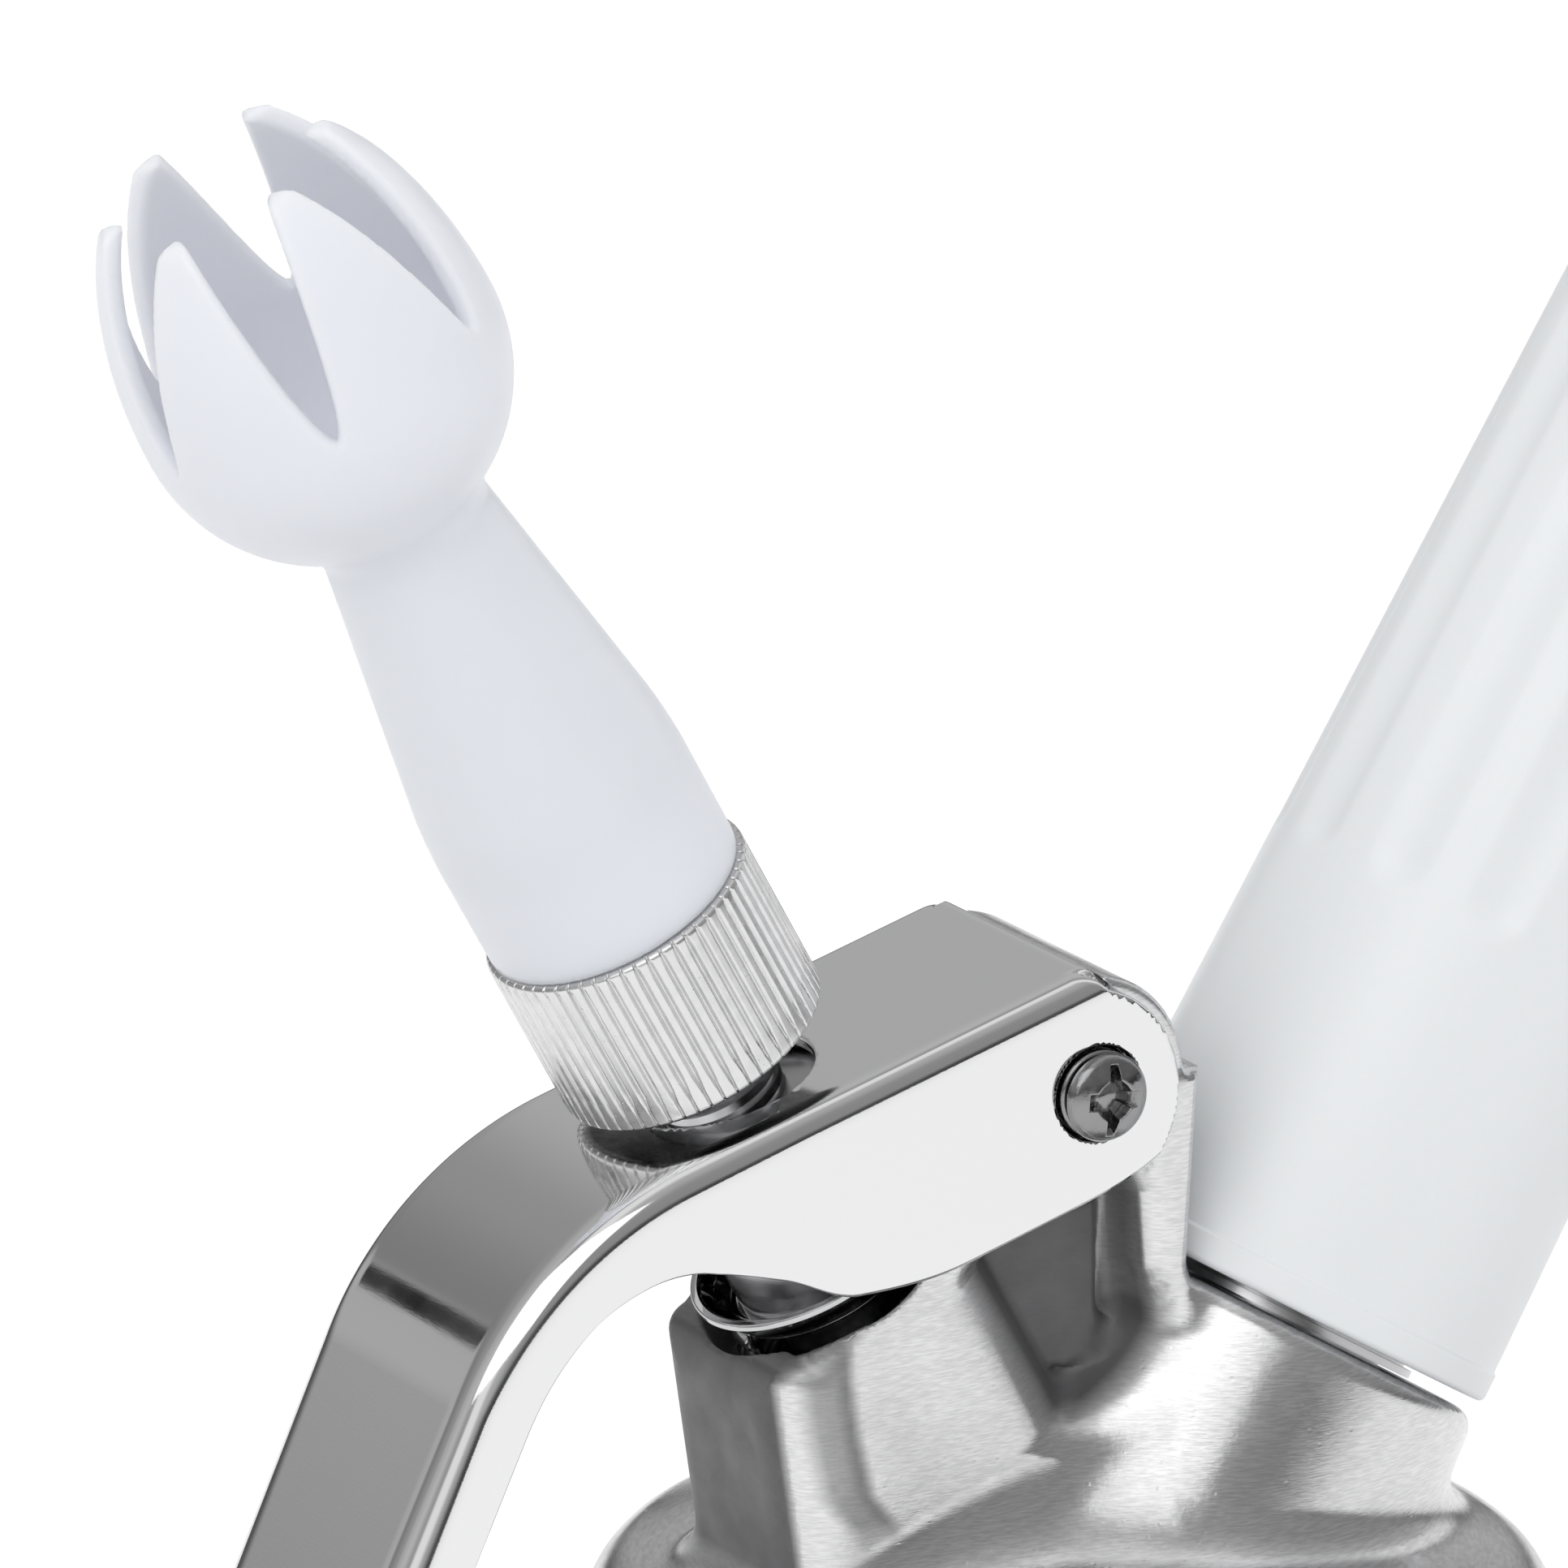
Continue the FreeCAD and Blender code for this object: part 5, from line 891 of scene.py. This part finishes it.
def tip_depth(x, y, z):
    """Depth rule of the tip on +Z: the form less the same form one wall smaller, less six
    notches that open as a power of the height, all edges eased; the insert's spigot fills
    the foot."""
    around = np.hypot(x, y)
    outer = shared(tip_form(around, z, 0.0), -z, 0.3)
    hollow = np.maximum(tip_form(around, z, TIP_WALL), SPIGOT_RISE - z)
    socket = np.maximum(around - SPIGOT_R, z - SPIGOT_RISE)
    shell = shared(outer, -np.minimum(hollow, socket), 0.15)
    shell = shared(shell, z - TIP_LENGTH, 0.45)
    pitch = 2 * math.pi / PETALS
    turn = np.arctan2(y, x) - PETAL_TURN
    turn = turn - np.round(turn / pitch) * pitch
    sideways, outwards = around * np.sin(turn), around * np.cos(turn)
    notch = np.maximum(outline_depth(sideways, z + 0 * sideways, notch_outline), 1.0 - outwards)
    return shared(shell, -notch, 0.45)


across_tip = spaced((-12.1, 12.1, 0.36))
points, quads, normals = level_skin(tip_depth, (
    across_tip, across_tip, spaced((-0.3, TIP_LENGTH + 0.3, 0.36))))
tip_normals = on_port(normals, -NOZZLE_TILT) - on_port(np.zeros((1, 3)), -NOZZLE_TILT)
tip_points = on_port(points + np.array([0, 0, TIP_BASE]), -NOZZLE_TILT)
tip = put_down("tulip_tip", tip_points, quads, (), tip_normals)

tip_plastic = material("tip_plastic", (0.79, 0.81, 0.87), 0.0, 0.36)
tip_shader = tip_plastic.node_tree.nodes["Principled BSDF"]
tip_shader.inputs["Subsurface Weight"].default_value = 0.75
tip_shader.inputs["Subsurface Radius"].default_value = (1.0, 0.9, 0.85)
tip_shader.inputs["Subsurface Scale"].default_value = 0.003
tip_shader.inputs["IOR"].default_value = 1.49
feed(tip_plastic, "Roughness", between(tip_plastic, grain(tip_plastic, (1, 1, 1), 3.0, 3), 0.3, 0.42))
relief(tip_plastic, [(grain(tip_plastic, (1, 1, 1), 5.0, 2), 0.05, 0.3),
                     (grain(tip_plastic, (1, 1, 1), 0.25, 3), 0.006, 0.4)])
tip.data.materials.append(tip_plastic)
dress(["guide_bush"], tip_plastic)
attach(tip, "tip")
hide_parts("decorating_tip")


# ============================================================================ charger holder
# Sleeve moulded from white plastic round a threaded insert. It holds the charger, tapers
# slightly, and twelve shallow flutes give a grip; they end round above a plain foot.
HOLDER_FOOT, HOLDER_FOOT_R, HOLDER_LENGTH, HOLDER_TAPER, HOLDER_LIP = 29.64, 14.5, 78.0, 0.0177, 1.9
HOLDER_BORE_R, BORE_DOME, SOCKET_R, SOCKET_TOP, HOLDER_CROWN = 9.3, 90.5, 12.2, 41.0, 5.0
FLUTES, FLUTE_DEPTH, FLUTE_HALF, FLUTE_START = 12, 0.5, 2.3, 26.4
holder_top, holder_lip = HOLDER_FOOT + HOLDER_LENGTH, HOLDER_FOOT + HOLDER_LIP
foot_wall_r = HOLDER_FOOT_R - 0.15 - HOLDER_TAPER * HOLDER_LIP
top_wall_r = HOLDER_FOOT_R - 0.15 - HOLDER_TAPER * HOLDER_LENGTH
# from the top of the charger's bore down its wall, round the foot, and up the outside
holder_profile = closer(np.concatenate([
    [[0, BORE_DOME + HOLDER_BORE_R]],
    arc(0, BORE_DOME, HOLDER_BORE_R, np.radians(np.linspace(90, 0, 20)))[1:],
    [[HOLDER_BORE_R, SOCKET_TOP + 0.2], [SOCKET_R - 0.2, SOCKET_TOP + 0.14], [SOCKET_R, SOCKET_TOP]],
    eased([(SOCKET_R, HOLDER_FOOT, 0.15), (HOLDER_FOOT_R, HOLDER_FOOT, 0.45),
           (HOLDER_FOOT_R, holder_lip, 0.1), (foot_wall_r, holder_lip + 0.2, 0.1),
           (top_wall_r, holder_top, HOLDER_CROWN), (0, holder_top)], 14)[:-1],
    [[0, holder_top]]]), 0.6)
holder_turn = once_round(264)
rows_r, rows_u = holder_profile[:, :1], holder_profile[:, 1:]
# a flute's cross-section is a smooth hollow, and it starts as half a dish
off_flute = np.abs((holder_turn * FLUTES / (2 * np.pi) + 0.5) % 1 - 0.5)[None, :]
off_flute = off_flute * 2 * np.pi / FLUTES * rows_r
short = np.clip(HOLDER_FOOT + FLUTE_START + FLUTE_HALF - rows_u, 0, None)
inwards = np.hypot(off_flute, short) / FLUTE_HALF
flute = np.clip(1 - inwards ** 2, 0, 1) ** 1.5 * FLUTE_DEPTH * rising(rows_u, holder_top - 0.6, -4.0)
past_foot = np.arange(len(rows_r))[:, None] > np.argmin(rows_u)
outer_wall = (rows_r > HOLDER_BORE_R + 0.5) & (rows_u > HOLDER_FOOT + 5) & past_foot
points, quads, caps = round_skin(np.where(outer_wall, rows_r - flute, rows_r), rows_u, holder_turn)
holder = put_down("fluted_holder", on_port(points, CHARGER_TILT), quads, caps)

holder_plastic = material("holder_plastic", (0.80, 0.82, 0.84), 0.0, 0.3)
holder_shader = holder_plastic.node_tree.nodes["Principled BSDF"]
holder_shader.inputs["IOR"].default_value = 1.49
holder_shader.inputs["Subsurface Weight"].default_value = 0.1
holder_shader.inputs["Subsurface Scale"].default_value = 0.0015
cloudy = grain(holder_plastic, (1, 1, 1), 6.0, 2)
feed(holder_plastic, "Roughness", between(holder_plastic, cloudy, 0.28, 0.36))
relief(holder_plastic, [(grain(holder_plastic, (1, 1, 1), 9.0, 1), 0.04, 0.2),
                        (grain(holder_plastic, (1, 1, 1), 0.3, 3), 0.006, 0.4)])
holder.data.materials.append(holder_plastic)
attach(holder, "charger_holder")
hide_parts("charger_holder")


# ============================================================================ room
# Pale seamless floor, one large soft lamp high at the front left, and a plain room whose walls
# are palest at the sides and grey before and behind. Camera, metal and clear pieces see it.
# Tones of the walls, from right behind the dispenser (0) to right in front of it (1):
ROOM_TONES = ((0.0, 0.47), (0.03, 0.46), (0.04, 0.24), (0.11, 0.33), (0.2, 0.47), (0.34, 0.54),
              (0.46, 0.35), (0.52, 0.87), (0.6, 0.87), (0.68, 0.48), (0.86, 0.31), (1.0, 0.29))
FRONT_WAY, GAP_WAY = Vector((0.5, -0.866, 0.0)), Vector((-0.4395, 0.83, 0.340)).normalized()


def lay_tones(ramp, tones):
    """Sets a colour ramp to greys at places along it."""
    ramp.interpolation = "EASE"
    for (place, tone), stop in zip(tones[:2], ramp.elements):
        stop.position, stop.color = place, (tone, tone, tone, 1)
    for place, tone in tones[2:]:
        ramp.elements.new(place).color = (tone, tone, tone, 1)


def towards(made, ray, way):
    """How far a ray looks a given way: 1 straight along it, -1 straight away from it."""
    facing = node(made, "VectorMath", [(0, ray)], operation="DOT_PRODUCT")
    facing.inputs[1].default_value = way
    return facing.outputs["Value"]


def sharp_rays(made):
    """1 for camera, glossy and transmission rays, 0 for the rays that light matte pieces."""
    rays = node(made, "LightPath")
    seen = rays.outputs["Is Camera Ray"]
    for kind in ("Is Glossy Ray", "Is Transmission Ray"):
        either = node(made, "Math", [(0, seen), (1, rays.outputs[kind])], operation="MAXIMUM")
        seen = either.outputs["Value"]
    return seen


def plain_world():
    """Even light for matte pieces. Camera, glossy and transmission rays all see the walls,
    graded by direction, with one narrow dark gap, and darker low down where the floor ends."""
    world = bpy.data.worlds.new("room")
    bpy.context.scene.world = world
    world.use_nodes = True
    world.node_tree.nodes.clear()
    ray = node(world, "TexCoord").outputs["Generated"]
    front = between(world, towards(world, ray, FRONT_WAY), 0.0, 1.0, -1, 1)
    ramp = node(world, "ValToRGB", [("Fac", front)])
    lay_tones(ramp.color_ramp, ROOM_TONES)
    gap = between(world, towards(world, ray, GAP_WAY), 1.0, 0.04, 0.9990, 0.9997, "SMOOTHSTEP")
    height = node(world, "SeparateXYZ", [("Vector", ray)]).outputs["Z"]
    foot = between(world, height, 0.22, 1.0, 0.03, 0.20, "SMOOTHSTEP")
    level = node(world, "Math", [(0, gap), (1, foot)], operation="MULTIPLY")
    walls = node(world, "Background", [("Color", ramp.outputs["Color"]),
                                       ("Strength", level.outputs["Value"])])
    even = node(world, "Background", Color=(0.90, 0.90, 0.90, 1))
    room = node(world, "MixShader", [("Fac", sharp_rays(world)), (1, even.outputs["Background"]),
                                     (2, walls.outputs["Background"])])
    node(world, "OutputWorld", [("Surface", room.outputs["Shader"])])


plain_world()
FLOOR_REACH = 6.0
floor_mesh = bpy.data.meshes.new("floor")
floor_mesh.from_pydata([(-FLOOR_REACH, -FLOOR_REACH, 0), (FLOOR_REACH, -FLOOR_REACH, 0),
                        (FLOOR_REACH, FLOOR_REACH, 0), (-FLOOR_REACH, FLOOR_REACH, 0)],
                       [], [(0, 1, 2, 3)])
floor = bpy.data.objects.new("floor", floor_mesh)
bpy.context.scene.collection.objects.link(floor)
pale = material("pale_floor", (0.86, 0.86, 0.86), 0.0, 0.6)
glow = node(pale, "Math", [(0, sharp_rays(pale))], operation="MULTIPLY")
glow.inputs[1].default_value = 0.26
pale.node_tree.nodes["Principled BSDF"].inputs["Emission Color"].default_value = (1, 1, 1, 1)
feed(pale, "Emission Strength", glow.outputs["Value"])
floor.data.materials.append(pale)

lamp_data = bpy.data.lights.new("softbox", "AREA")
lamp_data.shape = "RECTANGLE"
lamp_data.size, lamp_data.size_y, lamp_data.energy = 1.6, 1.2, 6.0
lamp = bpy.data.objects.new("softbox", lamp_data)
bpy.context.scene.collection.objects.link(lamp)
lamp.location = (-0.9, -0.9, 1.35)
lamp.rotation_mode = "QUATERNION"
lamp.rotation_quaternion = (lamp.location - Vector((0, 0, 0.2))).to_track_quat("Z", "Y")

# Camera: a long lens from the front left and a little above, on the head and the tip.
azimuth, elevation, distance = math.radians(-30.024), math.radians(16.255), 1.0174
back = Vector((math.sin(azimuth) * math.cos(elevation),
               -math.cos(azimuth) * math.cos(elevation), math.sin(elevation)))
right = Vector((math.cos(azimuth), math.sin(azimuth), 0))
up = back.cross(right)
camera_data = bpy.data.cameras.new("camera")
camera_data.sensor_width, camera_data.lens = 36.0, 372.67
camera_data.clip_start, camera_data.clip_end = 0.05, 50
camera = bpy.data.objects.new("camera", camera_data)
bpy.context.scene.collection.objects.link(camera)
aim, to_left, upwards = Vector((-0.0048, 0, 0.240)), 0.01404, 0.01302
where = aim - right * to_left + up * upwards + back * distance
camera.matrix_world = Matrix.Translation(where) @ Matrix((right, up, back)).transposed().to_4x4()
bpy.context.scene.camera = camera
bpy.context.scene.view_settings.view_transform = "Standard"
